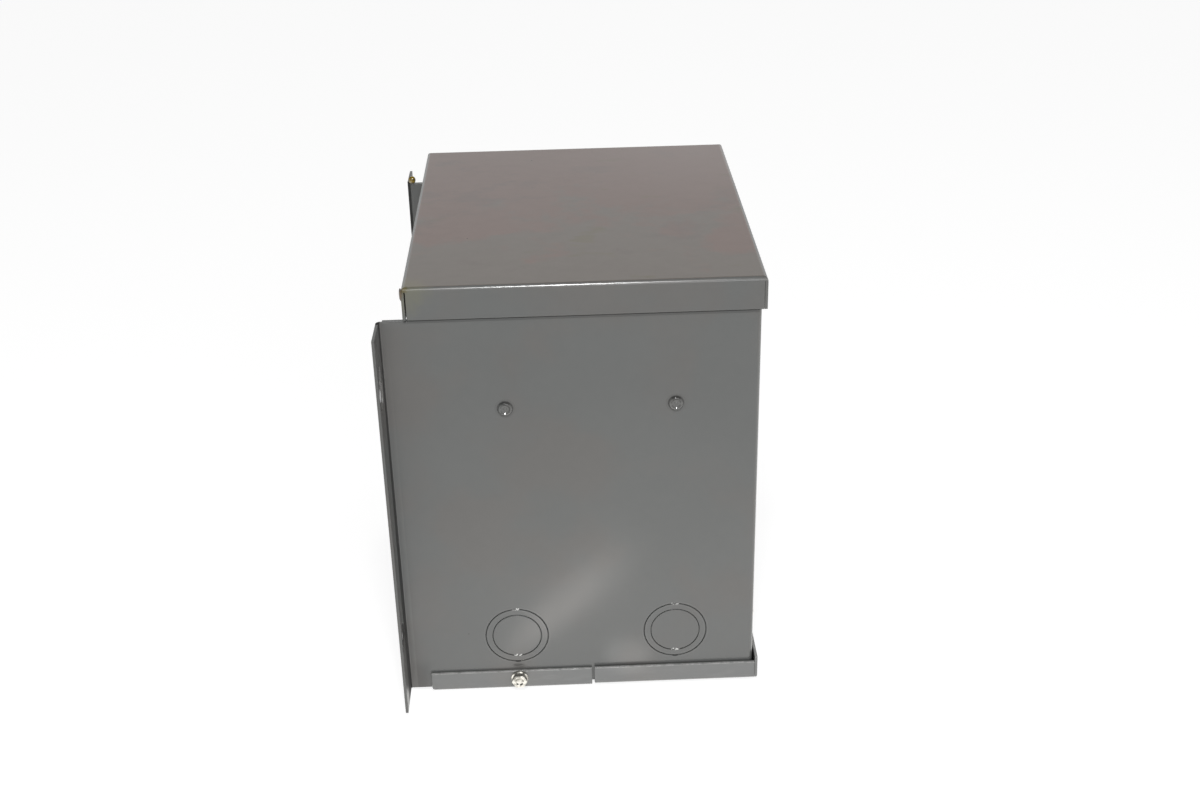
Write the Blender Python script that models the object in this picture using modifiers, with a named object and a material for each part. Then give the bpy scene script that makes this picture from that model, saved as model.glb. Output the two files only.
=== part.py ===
"""A wall-mount, resin-filled single-phase transformer in a folded sheet-steel case.

Metres, +Z up. The front faces -Y, the wall that carries it is at +Y, and +X is to the right.
The origin is at the middle of the footprint, on the surface that the case stands on.
"""

import math

import bmesh
import bpy
from mathutils import Matrix, Vector

MM = 0.001

# Fits and sheet work
GAP = 0.3 * MM
HEAD_GAP = 0.1 * MM
SHEET = 1.2 * MM
BEND_INSIDE = 0.7 * MM
BEND_OUTSIDE = BEND_INSIDE + SHEET
SEAM = 0.5 * MM
CLOSED_SEAM = 0.15 * MM
OVERCUT = 5 * MM

# Facets of round forms
ARC_STEPS = 6
ROD_SIDES = 24
FASTENER_SIDES = 20
HOLE_SIDES = 16
LEAD_HOLE_SIDES = 12
KNOCKOUT_STEPS = 34
KEYHOLE_STEPS = 16
NECK_STEPS = 8
RIM_STEPS = 4
LEAD_BEND_STEPS = 5
BEAD_COLUMNS = 16
BEAD_ROWS = 10

# Case wrap
CASE_WIDTH = 178.4 * MM
CASE_DEPTH = 159.6 * MM
LEG_BOTTOM = 1.65 * MM
LEG_SETDOWN = 15.4 * MM
FLANGE_WIDTH = 18.8 * MM

# Top cover
TOTAL_HEIGHT = 201.8 * MM
COVER_SKIRT = 14.2 * MM
COVER_SETBACK = 11.4 * MM
COVER_OVERHANG = 2.0 * MM

# Bottom pans
PAN_SETBACK = 11.0 * MM
REAR_PAN_SHORTER = 0.2 * MM
PAN_SLIT = 1.2 * MM
REAR_LIP = 9.75 * MM
FRONT_PAN_RAISE = 0.75 * MM
FRONT_SIDE_LIP = 9.4 * MM
FRONT_LIP = 12.2 * MM
FRONT_LIP_GAP = 1.0 * MM
REAR_PAN_FIT = 0.3 * MM
FRONT_PAN_FIT = 0.7 * MM
CORNER_CLIP = 1.2 * MM
CORNER_CLIP_HEIGHT = 2.4 * MM

# Keyhole slots in the flanges
KEYHOLE_OUT = 11.0 * MM
KEYHOLE_RADIUS = 6.0 * MM
KEYHOLE_NECK = 6.4 * MM
KEYHOLE_LENGTH = 19.0 * MM
LOWER_KEYHOLE_TOP = 51.3 * MM
UPPER_KEYHOLE_DROP = 15.1 * MM

# Concentric conduit knockouts
KNOCKOUT_HEIGHT = 28.6 * MM
REAR_KNOCKOUT_PLACE = 51.4 * MM
FRONT_KNOCKOUT_SETBACK = 35.9 * MM
KNOCKOUT_INNER = 11.1 * MM
KNOCKOUT_OUTER = 14.2 * MM
KNOCKOUT_CUT = 0.35 * MM
KNOCKOUT_DEPTH = 0.75 * MM
KNOCKOUT_TAB = 3.4 * MM

# Back panel
PANEL_FLANGE_SETBACK = 2.5 * MM

# Blind rivets and the angle brackets behind them
RIVET_DROP = 56.8 * MM
RIVET_CLEAR_OF_STACK = 6.3 * MM
RIVET_SHANK = 1.55 * MM
RIVET_HEAD = 3.175 * MM
RIVET_CREST = 2.4 * MM
RIVET_CROWN = 1.2 * MM
RIVET_DISH = 1.5 * MM
RIVET_DISH_DEPTH = 0.65 * MM
RIVET_MANDREL = 0.8 * MM
RIVET_MANDREL_RISE = 0.2 * MM
RIVET_BULB = 2.4 * MM
RIVET_BULB_LENGTH = 3.6 * MM
RIVET_BULB_SHOULDER = 0.7 * MM
RIVET_BULB_TAPER = 0.9 * MM
BRACKET_SHEET = 1.5 * MM
BRACKET_HALF_HEIGHT = 12.5 * MM
BRACKET_EDGE = 5.5 * MM
BRACKET_PAST_BOLT = 7.8 * MM

# Hex washer-head screws
SCREW_WASHER = 4.0 * MM
SCREW_WASHER_THICKNESS = 0.8 * MM
SCREW_WASHER_ROUNDING = 0.12 * MM
SCREW_NECK = 1.1 * MM
SCREW_HEX = 6.35 * MM
SCREW_HEAD_HEIGHT = 3.6 * MM
SCREW_CHAMFER = 0.4 * MM
SCREW_DISH = 1.9 * MM
SCREW_DISH_DEPTH = 0.7 * MM
SCREW_SHANK = 1.8 * MM
SCREW_TIP = 0.45 * MM
SCREW_POINT = 0.25
SCREW_LENGTH = 9.0 * MM
EARTHING_SCREW_LENGTH = 3.4 * MM
SIDE_SCREW_PLACE = 51.6 * MM
SIDE_SCREW_HEIGHT = 6.05 * MM
FRONT_SCREW_SPREAD = 0.5
FRONT_SCREW_HEIGHT = 7.6 * MM

# Core, held off the case by resin on every side but its top
SIDE_RESIN = 11.5 * MM
UNDER_RESIN = 14.1 * MM
END_RESIN = 17.35 * MM
CORE_FORWARD = 1.35 * MM
PAD_THICKNESS = 1.6 * MM
CLAMP_BOLT_RADIUS = 2.5 * MM
CLAMP_BOLT_HEX = 8.0 * MM
CLAMP_HEAD = 3.5 * MM
CLAMP_NUT = 4.0 * MM
CLAMP_BOLT_PAST_NUT = 1.0 * MM

# Coil
FORMER_WALL = 1.5 * MM
FORMER_CLEARANCE = 0.5 * MM
LAYER_INSULATION = 0.8 * MM
OUTER_WRAP = 0.7 * MM
WINDOW_SPARE = 1.7 * MM
FLANGE_MARGIN = 0.8 * MM

# Potting compound and the wiring compartment under it
COMPARTMENT_CEILING = 57.0 * MM
COMPOUND_CORNER = 1.2 * MM
COMPOUND_CORNER_STEPS = 2

# Leads
LEADS_PER_SIDE = 4
LEAD_RADIUS = 2.1 * MM
LEAD_PITCH = 5.6 * MM
LEAD_FIRST = 4.5 * MM
LEAD_BEND = 9.0 * MM
LEAD_DROP = 2.5 * MM
LEAD_START = 0.516
LEAD_RUN = 1.065
LEAD_STAGGER = 6.0 * MM

# Earthing lug
LUG_INSET = 29.2 * MM
LUG_HEIGHT = 22.0 * MM
LUG_WIDTH = 10.0 * MM
LUG_TANG = 2.0 * MM
LUG_TANG_LENGTH = 11.0 * MM
LUG_BLOCK = 9.0 * MM
LUG_BORE = 2.6 * MM
LUG_BORE_FORWARD = 0.5 * MM

# Resin beads
LEG_BEAD_HALF_WIDTH = 1.75 * MM
LEG_BEAD_HALF_DEPTH = 2.2 * MM
LEG_BEAD_HALF_HEIGHT = 2.5 * MM
LEG_BEAD_PLACE = 2.6 * MM
CORNER_BEAD_RADIUS = 0.8 * MM
CORNER_BEAD_HALF_HEIGHT = 2.8 * MM
CORNER_BEAD_DROP = 2.6 * MM

# Worked out from the sizes above: case
OVERALL_DEPTH = CASE_DEPTH + FRONT_LIP_GAP + SHEET + HEAD_GAP + SCREW_HEAD_HEIGHT
WALL_PLANE = OVERALL_DEPTH / 2
HALF_WIDTH = CASE_WIDTH / 2
LEG_TOP = TOTAL_HEIGHT - LEG_SETDOWN
COVER_BOTTOM = TOTAL_HEIGHT - COVER_SKIRT
COVER_HALF = HALF_WIDTH + GAP + SHEET
CASE_TOP = TOTAL_HEIGHT - SHEET - GAP
REAR_PAN_LENGTH = (CASE_DEPTH - PAN_SETBACK) / 2 - REAR_PAN_SHORTER
REAR_PAN_HALF = HALF_WIDTH + REAR_PAN_FIT + SHEET
FRONT_PAN_HALF = HALF_WIDTH + FRONT_PAN_FIT + SHEET
FRONT_PAN_START = PAN_SETBACK + REAR_PAN_LENGTH + PAN_SLIT
WALL_BOTTOM = FRONT_PAN_RAISE + SHEET + GAP
PANEL_REAR = COVER_SETBACK + SHEET + GAP
PANEL_HALF = HALF_WIDTH - SHEET - GAP
KEYHOLE_ACROSS = HALF_WIDTH + KEYHOLE_OUT
KEYHOLE_TOPS = (LOWER_KEYHOLE_TOP, LEG_TOP - UPPER_KEYHOLE_DROP)
KNOCKOUT_PLACES = (REAR_KNOCKOUT_PLACE, CASE_DEPTH - FRONT_KNOCKOUT_SETBACK)
FRONT_SCREW_ACROSS = HALF_WIDTH * FRONT_SCREW_SPREAD
LUG_ACROSS = HALF_WIDTH - LUG_INSET

# Worked out from the sizes above: core, coil and what holds them
COMPOUND_REAR = PANEL_REAR + SHEET + GAP
COMPOUND_FRONT = CASE_DEPTH - SHEET - GAP
CORE_HALF_WIDTH = PANEL_HALF - SIDE_RESIN
TONGUE = CORE_HALF_WIDTH / 1.5
LEG_WIDTH = TONGUE / 2
LAYERS = LAYER_INSULATION + OUTER_WRAP + 4 * GAP
WINDING_BUILD = (LEG_WIDTH - FORMER_CLEARANCE - FORMER_WALL - LAYERS - WINDOW_SPARE) / 2
COIL_SIDE = FORMER_CLEARANCE + FORMER_WALL + 2 * WINDING_BUILD + LAYERS + FLANGE_MARGIN
STACK = COMPOUND_FRONT - COMPOUND_REAR - 2 * (END_RESIN + COIL_SIDE)
COIL_HALF_DEPTH = STACK / 2 + COIL_SIDE
CORE_PLACE = (COMPOUND_REAR + COMPOUND_FRONT) / 2 + CORE_FORWARD
CORE_TOP = CASE_TOP - PAD_THICKNESS - GAP
CORE_BOTTOM = COMPARTMENT_CEILING + UNDER_RESIN
WINDOW_BOTTOM = CORE_BOTTOM + LEG_WIDTH
YOKE_UNDERSIDE = CORE_TOP - LEG_WIDTH
FORMER_BOTTOM = WINDOW_BOTTOM + GAP
FORMER_TOP = YOKE_UNDERSIDE - GAP
RIVET_OFFSET = STACK / 2 + RIVET_CLEAR_OF_STACK
RIVET_HEIGHT = TOTAL_HEIGHT - RIVET_DROP
RIVET_PLACES = {"rear": CORE_PLACE - RIVET_OFFSET, "front": CORE_PLACE + RIVET_OFFSET}
CLAMP_BOLT_INSET = LEG_WIDTH / 2
BRACKET_FACE = STACK / 2 + GAP
BRACKET_REACH = SIDE_RESIN + CLAMP_BOLT_INSET + BRACKET_PAST_BOLT
CLAMP_FACE = BRACKET_FACE + BRACKET_SHEET + HEAD_GAP


def behind(distance):
    """The Y of a plane this far in front of the wall that carries the case."""
    return WALL_PLANE - distance


# Scene and materials

def clear_scene():
    """Removes every object and makes the collections for the model and for its cutters."""
    for leftover in list(bpy.data.objects):
        bpy.data.objects.remove(leftover, do_unlink=True)
    for name in ("single_phase_transformer", "cutters"):
        collection = bpy.data.collections.new(name)
        bpy.context.scene.collection.children.link(collection)
    bpy.data.collections["cutters"].hide_render = True


def principled(name, colour, roughness, metallic=0.0):
    """A Principled material of one colour."""
    made = bpy.data.materials.new(name)
    made.use_nodes = True
    shader = made.node_tree.nodes["Principled BSDF"]
    shader.inputs["Base Color"].default_value = (*colour, 1.0)
    shader.inputs["Roughness"].default_value = roughness
    shader.inputs["Metallic"].default_value = metallic
    return made


def link(name, mesh, collection="single_phase_transformer"):
    """Puts a mesh or a curve into the scene as an object."""
    made = bpy.data.objects.new(name, mesh)
    bpy.data.collections[collection].objects.link(made)
    return made


def finish(piece, material, smooth=False):
    """Gives a piece its material, and smooth shading where it is round."""
    piece.data.materials.clear()
    piece.data.materials.append(material)
    if smooth:
        piece.data.shade_smooth()
        piece.data.set_sharp_from_angle(angle=math.radians(35))
    return piece


# Joining and cutting

def hide_tool(tool):
    """Moves an object among the cutters, out of the render."""
    for collection in tool.users_collection:
        collection.objects.unlink(tool)
    bpy.data.collections["cutters"].objects.link(tool)
    tool.hide_render = True
    tool.display_type = "WIRE"


def combine(piece, tool, operation):
    """Adds a Boolean of the given kind to a piece."""
    hide_tool(tool)
    boolean = piece.modifiers.new(operation.lower(), "BOOLEAN")
    boolean.operation = operation
    boolean.solver = "EXACT"
    boolean.object = tool
    return piece


def cut(piece, tool):
    """Takes the tool's shape out of a piece."""
    return combine(piece, tool, "DIFFERENCE")


def join(piece, tool):
    """Makes the tool's shape part of a piece."""
    return combine(piece, tool, "UNION")


def evaluated_mesh(source):
    """The mesh of an object with its modifiers, as a new mesh."""
    bpy.context.view_layer.update()
    graph = bpy.context.evaluated_depsgraph_get()
    return bpy.data.meshes.new_from_object(source.evaluated_get(graph))


# Basic shapes

def box(name, low, high):
    """A box between two corners."""
    low, high = Vector(low), Vector(high)
    place = Matrix.Translation((low + high) / 2) @ Matrix.Diagonal((*(high - low), 1.0))
    shape = bmesh.new()
    bmesh.ops.create_cube(shape, size=1.0, matrix=place)
    mesh = bpy.data.meshes.new(name)
    shape.to_mesh(mesh)
    shape.free()
    return link(name, mesh)


def axis_matrix(axis):
    """Turns local Z to the named axis. Local X and Y become Y, Z on axis X, and X, Z on axis Y."""
    if axis == "X":
        return Matrix(((0, 0, 1, 0), (1, 0, 0, 0), (0, 1, 0, 0), (0, 0, 0, 1)))
    if axis == "Y":
        return Matrix.Rotation(math.pi / 2, 4, "X")
    return Matrix.Identity(4)


def rod(name, axis, middle, radius, length, sides=ROD_SIDES):
    """A cylinder along an axis, or a prism with few sides, about its middle point."""
    shape = bmesh.new()
    bmesh.ops.create_cone(
        shape, cap_ends=True, segments=sides, radius1=radius, radius2=radius, depth=length,
        matrix=Matrix.Translation(middle) @ axis_matrix(axis),
    )
    mesh = bpy.data.meshes.new(name)
    shape.to_mesh(mesh)
    shape.free()
    return link(name, mesh)


def turned(name, profile, sides=ROD_SIDES):
    """A solid turned about Z from (radius, height) points that run from top to bottom."""
    mesh = bpy.data.meshes.new(name)
    edges = [(index, index + 1) for index in range(len(profile) - 1)]
    mesh.from_pydata([(radius, 0.0, height) for radius, height in profile], edges, [])
    piece = link(name, mesh)
    lathe = piece.modifiers.new("turn", "SCREW")
    lathe.steps = sides
    lathe.render_steps = sides
    lathe.use_merge_vertices = True
    lathe.merge_threshold = 0.00001
    return piece


def plate(name, outline, axis, low, high):
    """A flat outline made into a plate that lies between two places on an axis."""
    curve = bpy.data.curves.new(name, "CURVE")
    curve.dimensions = "2D"
    curve.fill_mode = "BOTH"
    curve.extrude = (high - low) / 2
    spline = curve.splines.new("POLY")
    spline.points.add(len(outline) - 1)
    for point, (across, up) in zip(spline.points, outline):
        point.co = (across, up, 0.0, 1.0)
    spline.use_cyclic_u = True
    guide = link(name + "_outline", curve)
    mesh = evaluated_mesh(guide)
    bpy.data.objects.remove(guide, do_unlink=True)
    middle = (low + high) / 2
    shift = {"X": (middle, 0, 0), "Y": (0, middle, 0), "Z": (0, 0, middle)}[axis]
    mesh.transform(Matrix.Translation(shift) @ axis_matrix(axis))
    shape = bmesh.new()
    shape.from_mesh(mesh)
    bmesh.ops.remove_doubles(shape, verts=shape.verts, dist=0.000001)
    shape.to_mesh(mesh)
    shape.free()
    return link(name, mesh)


def arc(centre, radius, start, end, steps):
    """Points on an arc, from one angle to another in radians."""
    return [
        (
            centre[0] + radius * math.cos(start + (end - start) * step / steps),
            centre[1] + radius * math.sin(start + (end - start) * step / steps),
        )
        for step in range(steps + 1)
    ]


def rounded_path(corners, radii, closed=False, steps=ARC_STEPS):
    """A path through corners, each turned into an arc. The ends of an open path stay as they are."""
    corners = [Vector(corner) for corner in corners]
    points = []
    for index, corner in enumerate(corners):
        if not closed and index in (0, len(corners) - 1):
            points.append(tuple(corner))
            continue
        radius = radii if isinstance(radii, float) else radii[index]
        back = (corners[index - 1] - corner).normalized()
        ahead = (corners[(index + 1) % len(corners)] - corner).normalized()
        half_angle = back.angle(ahead) / 2
        centre = corner + (back + ahead).normalized() * radius / math.sin(half_angle)
        first = corner + back * radius / math.tan(half_angle) - centre
        turn = math.pi - 2 * half_angle
        start = math.atan2(first.y, first.x)
        if back.cross(ahead) > 0:
            turn = -turn
        points += arc(centre, radius, start, start + turn, steps)
    return points


def folded_sheet(name, path, axis, low, high, thickness=SHEET, closed=False, offset=-1.0):
    """A sheet folded along a path and drawn out along an axis.

    The path's two numbers are Y, Z on axis X, then X, Z on axis Y, and X, Y on axis Z. The thickness
    lies to the left of the path, as seen with the axis pointing at the viewer.
    """
    order = {"X": (2, 0, 1), "Y": (0, 2, 1), "Z": (0, 1, 2)}[axis]
    direction = Vector({"X": (1, 0, 0), "Y": (0, 1, 0), "Z": (0, 0, 1)}[axis])
    shape = bmesh.new()
    verts = []
    for across, along in path:
        spot = (across, along, low)
        verts.append(shape.verts.new([spot[place] for place in order]))
    ends = len(verts) if closed else len(verts) - 1
    edges = [shape.edges.new((verts[index], verts[(index + 1) % len(verts)])) for index in range(ends)]
    travel = verts[1].co - verts[0].co
    drawn = bmesh.ops.extrude_edge_only(shape, edges=edges)["geom"]
    moved = [item for item in drawn if isinstance(item, bmesh.types.BMVert)]
    bmesh.ops.translate(shape, verts=moved, vec=direction * (high - low))
    shape.normal_update()
    if edges[0].link_faces[0].normal.dot(travel.cross(direction)) < 0:
        bmesh.ops.reverse_faces(shape, faces=shape.faces)
    mesh = bpy.data.meshes.new(name)
    shape.to_mesh(mesh)
    shape.free()
    piece = link(name, mesh)
    add_thickness(piece, thickness, offset)
    return piece


def add_thickness(piece, thickness, offset=-1.0):
    """Gives a surface its sheet thickness, behind its faces with an offset of -1."""
    wall = piece.modifiers.new("sheet", "SOLIDIFY")
    wall.thickness = thickness
    wall.offset = offset
    wall.use_even_offset = True
    wall.use_quality_normals = True
    return wall


def open_tray(name, low, high, open_sides, thickness=SHEET):
    """A sheet tray between two corners, without the sides named by their outward direction.

    The edges round its flat bottom or top, which is the side opposite the first open one, are bent
    to the outside bend radius. The thickness lies inside.
    """
    low, high = Vector(low), Vector(high)
    place = Matrix.Translation((low + high) / 2) @ Matrix.Diagonal((*(high - low), 1.0))
    shape = bmesh.new()
    bmesh.ops.create_cube(shape, size=1.0, matrix=place)
    shape.normal_update()
    opened = [face for face in shape.faces if any(face.normal.dot(Vector(side)) > 0.9 for side in open_sides)]
    bmesh.ops.delete(shape, geom=opened, context="FACES")
    plane = -Vector(open_sides[0])
    flat = next(face for face in shape.faces if face.normal.dot(plane) > 0.9)
    bends = [edge for edge in flat.edges if len(edge.link_faces) == 2]
    bmesh.ops.bevel(
        shape, geom=bends, offset=BEND_OUTSIDE, offset_type="OFFSET", segments=ARC_STEPS, profile=0.5,
        affect="EDGES",
    )
    mesh = bpy.data.meshes.new(name)
    shape.to_mesh(mesh)
    shape.free()
    piece = link(name, mesh)
    add_thickness(piece, thickness)
    return piece


# Sheet-metal case

def keyhole_outline(across, top):
    """A round hole below, with a narrow neck above it that ends in a half circle."""
    neck = KEYHOLE_NECK / 2
    hole_centre = (across, top - KEYHOLE_LENGTH + KEYHOLE_RADIUS)
    neck_centre = (across, top - neck)
    meet = math.acos(neck / KEYHOLE_RADIUS)
    hole = arc(hole_centre, KEYHOLE_RADIUS, math.pi - meet, 2 * math.pi + meet, KEYHOLE_STEPS)
    return hole + arc(neck_centre, neck, 0.0, math.pi, NECK_STEPS)


def cut_keyholes(wrap):
    """Two keyhole slots through each flange."""
    for side in (-1, 1):
        for top in KEYHOLE_TOPS:
            outline = keyhole_outline(side * KEYHOLE_ACROSS, top)
            name = f"keyhole_cutter_{side:+d}_{round(top / MM)}"
            cut(wrap, plate(name, outline, "Y", behind(SHEET) - OVERCUT, WALL_PLANE + OVERCUT))


def knockout_groove(name, side, place, radius, tab_angle):
    """A ring-shaped groove cutter in a side wall, open over one tab that holds the slug."""
    half_tab = KNOCKOUT_TAB / 2 / radius
    centre = (behind(place), KNOCKOUT_HEIGHT)
    start = tab_angle + half_tab
    path = arc(centre, radius, start, start + 2 * math.pi - 2 * half_tab, KNOCKOUT_STEPS)
    floor = side * (HALF_WIDTH - KNOCKOUT_DEPTH)
    air = side * (HALF_WIDTH + OVERCUT)
    return folded_sheet(name, path, "X", min(floor, air), max(floor, air), KNOCKOUT_CUT, offset=0.0)


def cut_knockouts(wrap):
    """Two concentric knockouts in each side: the outer ring hangs on a top tab, the slug on a low one."""
    for side in (-1, 1):
        for number, place in enumerate(KNOCKOUT_PLACES):
            name = f"knockout_cutter_{side:+d}_{number}"
            cut(wrap, knockout_groove(name + "_outer", side, place, KNOCKOUT_OUTER, math.pi / 2))
            cut(wrap, knockout_groove(name + "_inner", side, place, KNOCKOUT_INNER, -math.pi / 2))


def drill(piece, axis, middle, radius, length):
    """A round hole through a piece."""
    cut(piece, rod(piece.name + "_drill", axis, middle, radius, length, sides=HOLE_SIDES))


def case_wrap(paint):
    """The flanges, sides and front, folded from one sheet."""
    tip = HALF_WIDTH + FLANGE_WIDTH
    flange_face = behind(SHEET)
    front = behind(CASE_DEPTH)
    corners = [
        (-tip, flange_face), (-HALF_WIDTH, flange_face), (-HALF_WIDTH, front),
        (HALF_WIDTH, front), (HALF_WIDTH, flange_face), (tip, flange_face),
    ]
    radii = [0.0, BEND_INSIDE, BEND_OUTSIDE, BEND_OUTSIDE, BEND_INSIDE, 0.0]
    wrap = folded_sheet("case_wrap", rounded_path(corners, radii), "Z", LEG_BOTTOM, CASE_TOP)
    wide = tip + OVERCUT
    cut(wrap, box(
        "leg_top_cutter", (-wide, behind(PANEL_REAR), LEG_TOP),
        (wide, WALL_PLANE + OVERCUT, CASE_TOP + OVERCUT),
    ))
    cut(wrap, box(
        "wall_bottom_cutter", (-wide, front - OVERCUT, LEG_BOTTOM - OVERCUT),
        (wide, behind(PAN_SETBACK - GAP), WALL_BOTTOM),
    ))
    cut_keyholes(wrap)
    cut_knockouts(wrap)
    for side in (-1, 1):
        wall = side * (HALF_WIDTH - SHEET / 2)
        for place in RIVET_PLACES.values():
            drill(wrap, "X", (wall, behind(place), RIVET_HEIGHT), RIVET_SHANK + GAP, 2 * OVERCUT)
        drill(wrap, "X", (wall, behind(SIDE_SCREW_PLACE), SIDE_SCREW_HEIGHT), SCREW_SHANK + GAP, 2 * OVERCUT)
        spot = (side * FRONT_SCREW_ACROSS, behind(CASE_DEPTH), FRONT_SCREW_HEIGHT)
        drill(wrap, "Y", spot, SCREW_SHANK + GAP, 2 * OVERCUT)
    return finish(wrap, paint)


def back_panel(paint):
    """The recessed back, with side flanges turned towards the wall and lying inside the legs."""
    front_face = PANEL_REAR + SHEET
    corners = [
        (-PANEL_HALF, behind(PANEL_FLANGE_SETBACK)), (-PANEL_HALF, behind(front_face)),
        (PANEL_HALF, behind(front_face)), (PANEL_HALF, behind(PANEL_FLANGE_SETBACK)),
    ]
    panel = folded_sheet("back_panel", rounded_path(corners, BEND_OUTSIDE), "Z", SHEET + GAP, CASE_TOP)
    cut(panel, box(
        "panel_flange_cutter", (-HALF_WIDTH, behind(PANEL_REAR), LEG_TOP),
        (HALF_WIDTH, WALL_PLANE, CASE_TOP + OVERCUT),
    ))
    drill(panel, "Y", (LUG_ACROSS, behind(PANEL_REAR), LUG_HEIGHT), SCREW_SHANK + GAP, 2 * OVERCUT)
    return finish(panel, paint)


def cut_corner_seam(piece, half_width, inner_face, inwards, low, high, opening=SEAM):
    """Opens the seam at both ends of a cross skirt, where it covers the ends of the side skirts."""
    for side in (-1, 1):
        inner = side * (half_width - SHEET - SEAM)
        outer = side * (half_width + OVERCUT)
        seam_end = inner_face + inwards * opening
        cut(piece, box(
            f"{piece.name}_seam_{side:+d}_{round(inner_face / MM)}",
            (min(inner, outer), min(inner_face, seam_end), low),
            (max(inner, outer), max(inner_face, seam_end), high),
        ))


def top_cover(paint):
    """The lid: a top with four skirts bent down. Its front and rear skirts cover the side skirts' ends.

    The front seams are pressed nearly shut, and the rear ones stand open.
    """
    front = behind(CASE_DEPTH + COVER_OVERHANG)
    rear = behind(COVER_SETBACK)
    cover = open_tray(
        "top_cover", (-COVER_HALF, front, COVER_BOTTOM), (COVER_HALF, rear, TOTAL_HEIGHT), [(0, 0, -1)],
    )
    seam_low = COVER_BOTTOM - OVERCUT
    seam_high = TOTAL_HEIGHT - BEND_OUTSIDE
    cut_corner_seam(cover, COVER_HALF, front + SHEET, 1, seam_low, seam_high, CLOSED_SEAM)
    cut_corner_seam(cover, COVER_HALF, rear - SHEET, -1, seam_low, seam_high)
    return finish(cover, paint)


def clip_corners(pan, half_width, start, bottom, depth, height):
    """Clips the lower rear corner of both side lips, as the blank's bend relief leaves it."""
    edge = behind(start)
    rise = OVERCUT * height / depth
    outline = [
        (edge + OVERCUT, bottom - rise), (edge + OVERCUT, bottom + height + rise),
        (edge - depth - OVERCUT, bottom - rise),
    ]
    for side in (-1, 1):
        inner = side * (half_width - BEND_OUTSIDE)
        outer = side * (half_width + OVERCUT)
        name = f"{pan.name}_clip_{side:+d}"
        cut(pan, plate(name, outline, "X", min(inner, outer), max(inner, outer)))


def rear_bottom_pan(paint):
    """The rear half of the bottom, a channel whose side lips are screwed to the case."""
    corners = [
        (REAR_PAN_HALF, REAR_LIP), (REAR_PAN_HALF, 0.0),
        (-REAR_PAN_HALF, 0.0), (-REAR_PAN_HALF, REAR_LIP),
    ]
    path = rounded_path(corners, BEND_OUTSIDE)
    pan = folded_sheet(
        "rear_bottom_pan", path, "Y", behind(PAN_SETBACK + REAR_PAN_LENGTH), behind(PAN_SETBACK),
    )
    clip_corners(pan, REAR_PAN_HALF, PAN_SETBACK, 0.0, CORNER_CLIP, CORNER_CLIP_HEIGHT)
    for side in (-1, 1):
        spot = (side * REAR_PAN_HALF, behind(SIDE_SCREW_PLACE), SIDE_SCREW_HEIGHT)
        drill(pan, "X", spot, SCREW_SHANK + GAP, 2 * OVERCUT)
    return finish(pan, paint)


def front_bottom_pan(paint):
    """The front half of the bottom. Its taller front lip stands off the front wall."""
    front = behind(CASE_DEPTH + FRONT_LIP_GAP + SHEET)
    rear = behind(FRONT_PAN_START)
    bottom = FRONT_PAN_RAISE
    pan = open_tray(
        "front_bottom_pan", (-FRONT_PAN_HALF, front, bottom), (FRONT_PAN_HALF, rear, bottom + FRONT_LIP),
        [(0, 0, 1), (0, 1, 0)],
    )
    wide = FRONT_PAN_HALF + OVERCUT
    cut(pan, box(
        "front_pan_lip_cutter", (-wide, front + SHEET, bottom + FRONT_SIDE_LIP),
        (wide, rear + OVERCUT, bottom + FRONT_LIP + OVERCUT),
    ))
    seam_high = bottom + FRONT_LIP + OVERCUT
    cut_corner_seam(pan, FRONT_PAN_HALF, front + SHEET, 1, bottom + BEND_OUTSIDE, seam_high, CLOSED_SEAM)
    clip_corners(pan, FRONT_PAN_HALF, FRONT_PAN_START, bottom, CORNER_CLIP / 2, CORNER_CLIP_HEIGHT / 2)
    for side in (-1, 1):
        spot = (side * FRONT_SCREW_ACROSS, front, FRONT_SCREW_HEIGHT)
        drill(pan, "Y", spot, SCREW_SHANK + GAP, 2 * OVERCUT)
    return finish(pan, paint)


# Screws and rivets

def hex_rod(name, across_flats, low, high):
    """A hexagonal prism along Z."""
    radius = across_flats / math.sqrt(3)
    return rod(name, "Z", (0, 0, (low + high) / 2), radius, high - low, sides=6)


def screw_mesh(length):
    """A hex washer-head screw with a dished head, its seat at the origin and its head up."""
    rim = SCREW_WASHER - SCREW_WASHER_ROUNDING
    body = turned("screw_body", [
        (0.0, SCREW_NECK), (SCREW_HEX / 2, SCREW_NECK), (rim, SCREW_WASHER_THICKNESS),
        (SCREW_WASHER, SCREW_WASHER_THICKNESS / 2), (rim, 0.0), (SCREW_SHANK, 0.0),
        (SCREW_SHANK, (SCREW_POINT - 1) * length), (SCREW_TIP, -length), (0.0, -length),
    ], FASTENER_SIDES)
    head = hex_rod("screw_hex", SCREW_HEX, SCREW_WASHER_THICKNESS / 2, SCREW_HEAD_HEIGHT)
    corner = SCREW_HEX / math.sqrt(3)
    shoulder = SCREW_HEAD_HEIGHT - SCREW_CHAMFER
    slope = OVERCUT * SCREW_CHAMFER / (corner - SCREW_HEX / 2)
    combine(head, turned("screw_chamfer", [
        (0.0, SCREW_HEAD_HEIGHT + OVERCUT), (SCREW_HEX / 2, SCREW_HEAD_HEIGHT + OVERCUT),
        (SCREW_HEX / 2, SCREW_HEAD_HEIGHT), (corner, shoulder),
        (corner + OVERCUT, shoulder - slope), (corner + OVERCUT, -slope), (0.0, -slope),
    ]), "INTERSECT")
    join(body, head)
    cut(body, turned("screw_dish", [
        (0.0, SCREW_HEAD_HEIGHT + OVERCUT), (SCREW_DISH + OVERCUT, SCREW_HEAD_HEIGHT + OVERCUT),
        (SCREW_DISH, SCREW_HEAD_HEIGHT), (SCREW_DISH / 2, SCREW_HEAD_HEIGHT - SCREW_DISH_DEPTH),
        (0.0, SCREW_HEAD_HEIGHT - SCREW_DISH_DEPTH),
    ]))
    mesh = evaluated_mesh(body)
    hide_tool(body)
    return mesh


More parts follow.
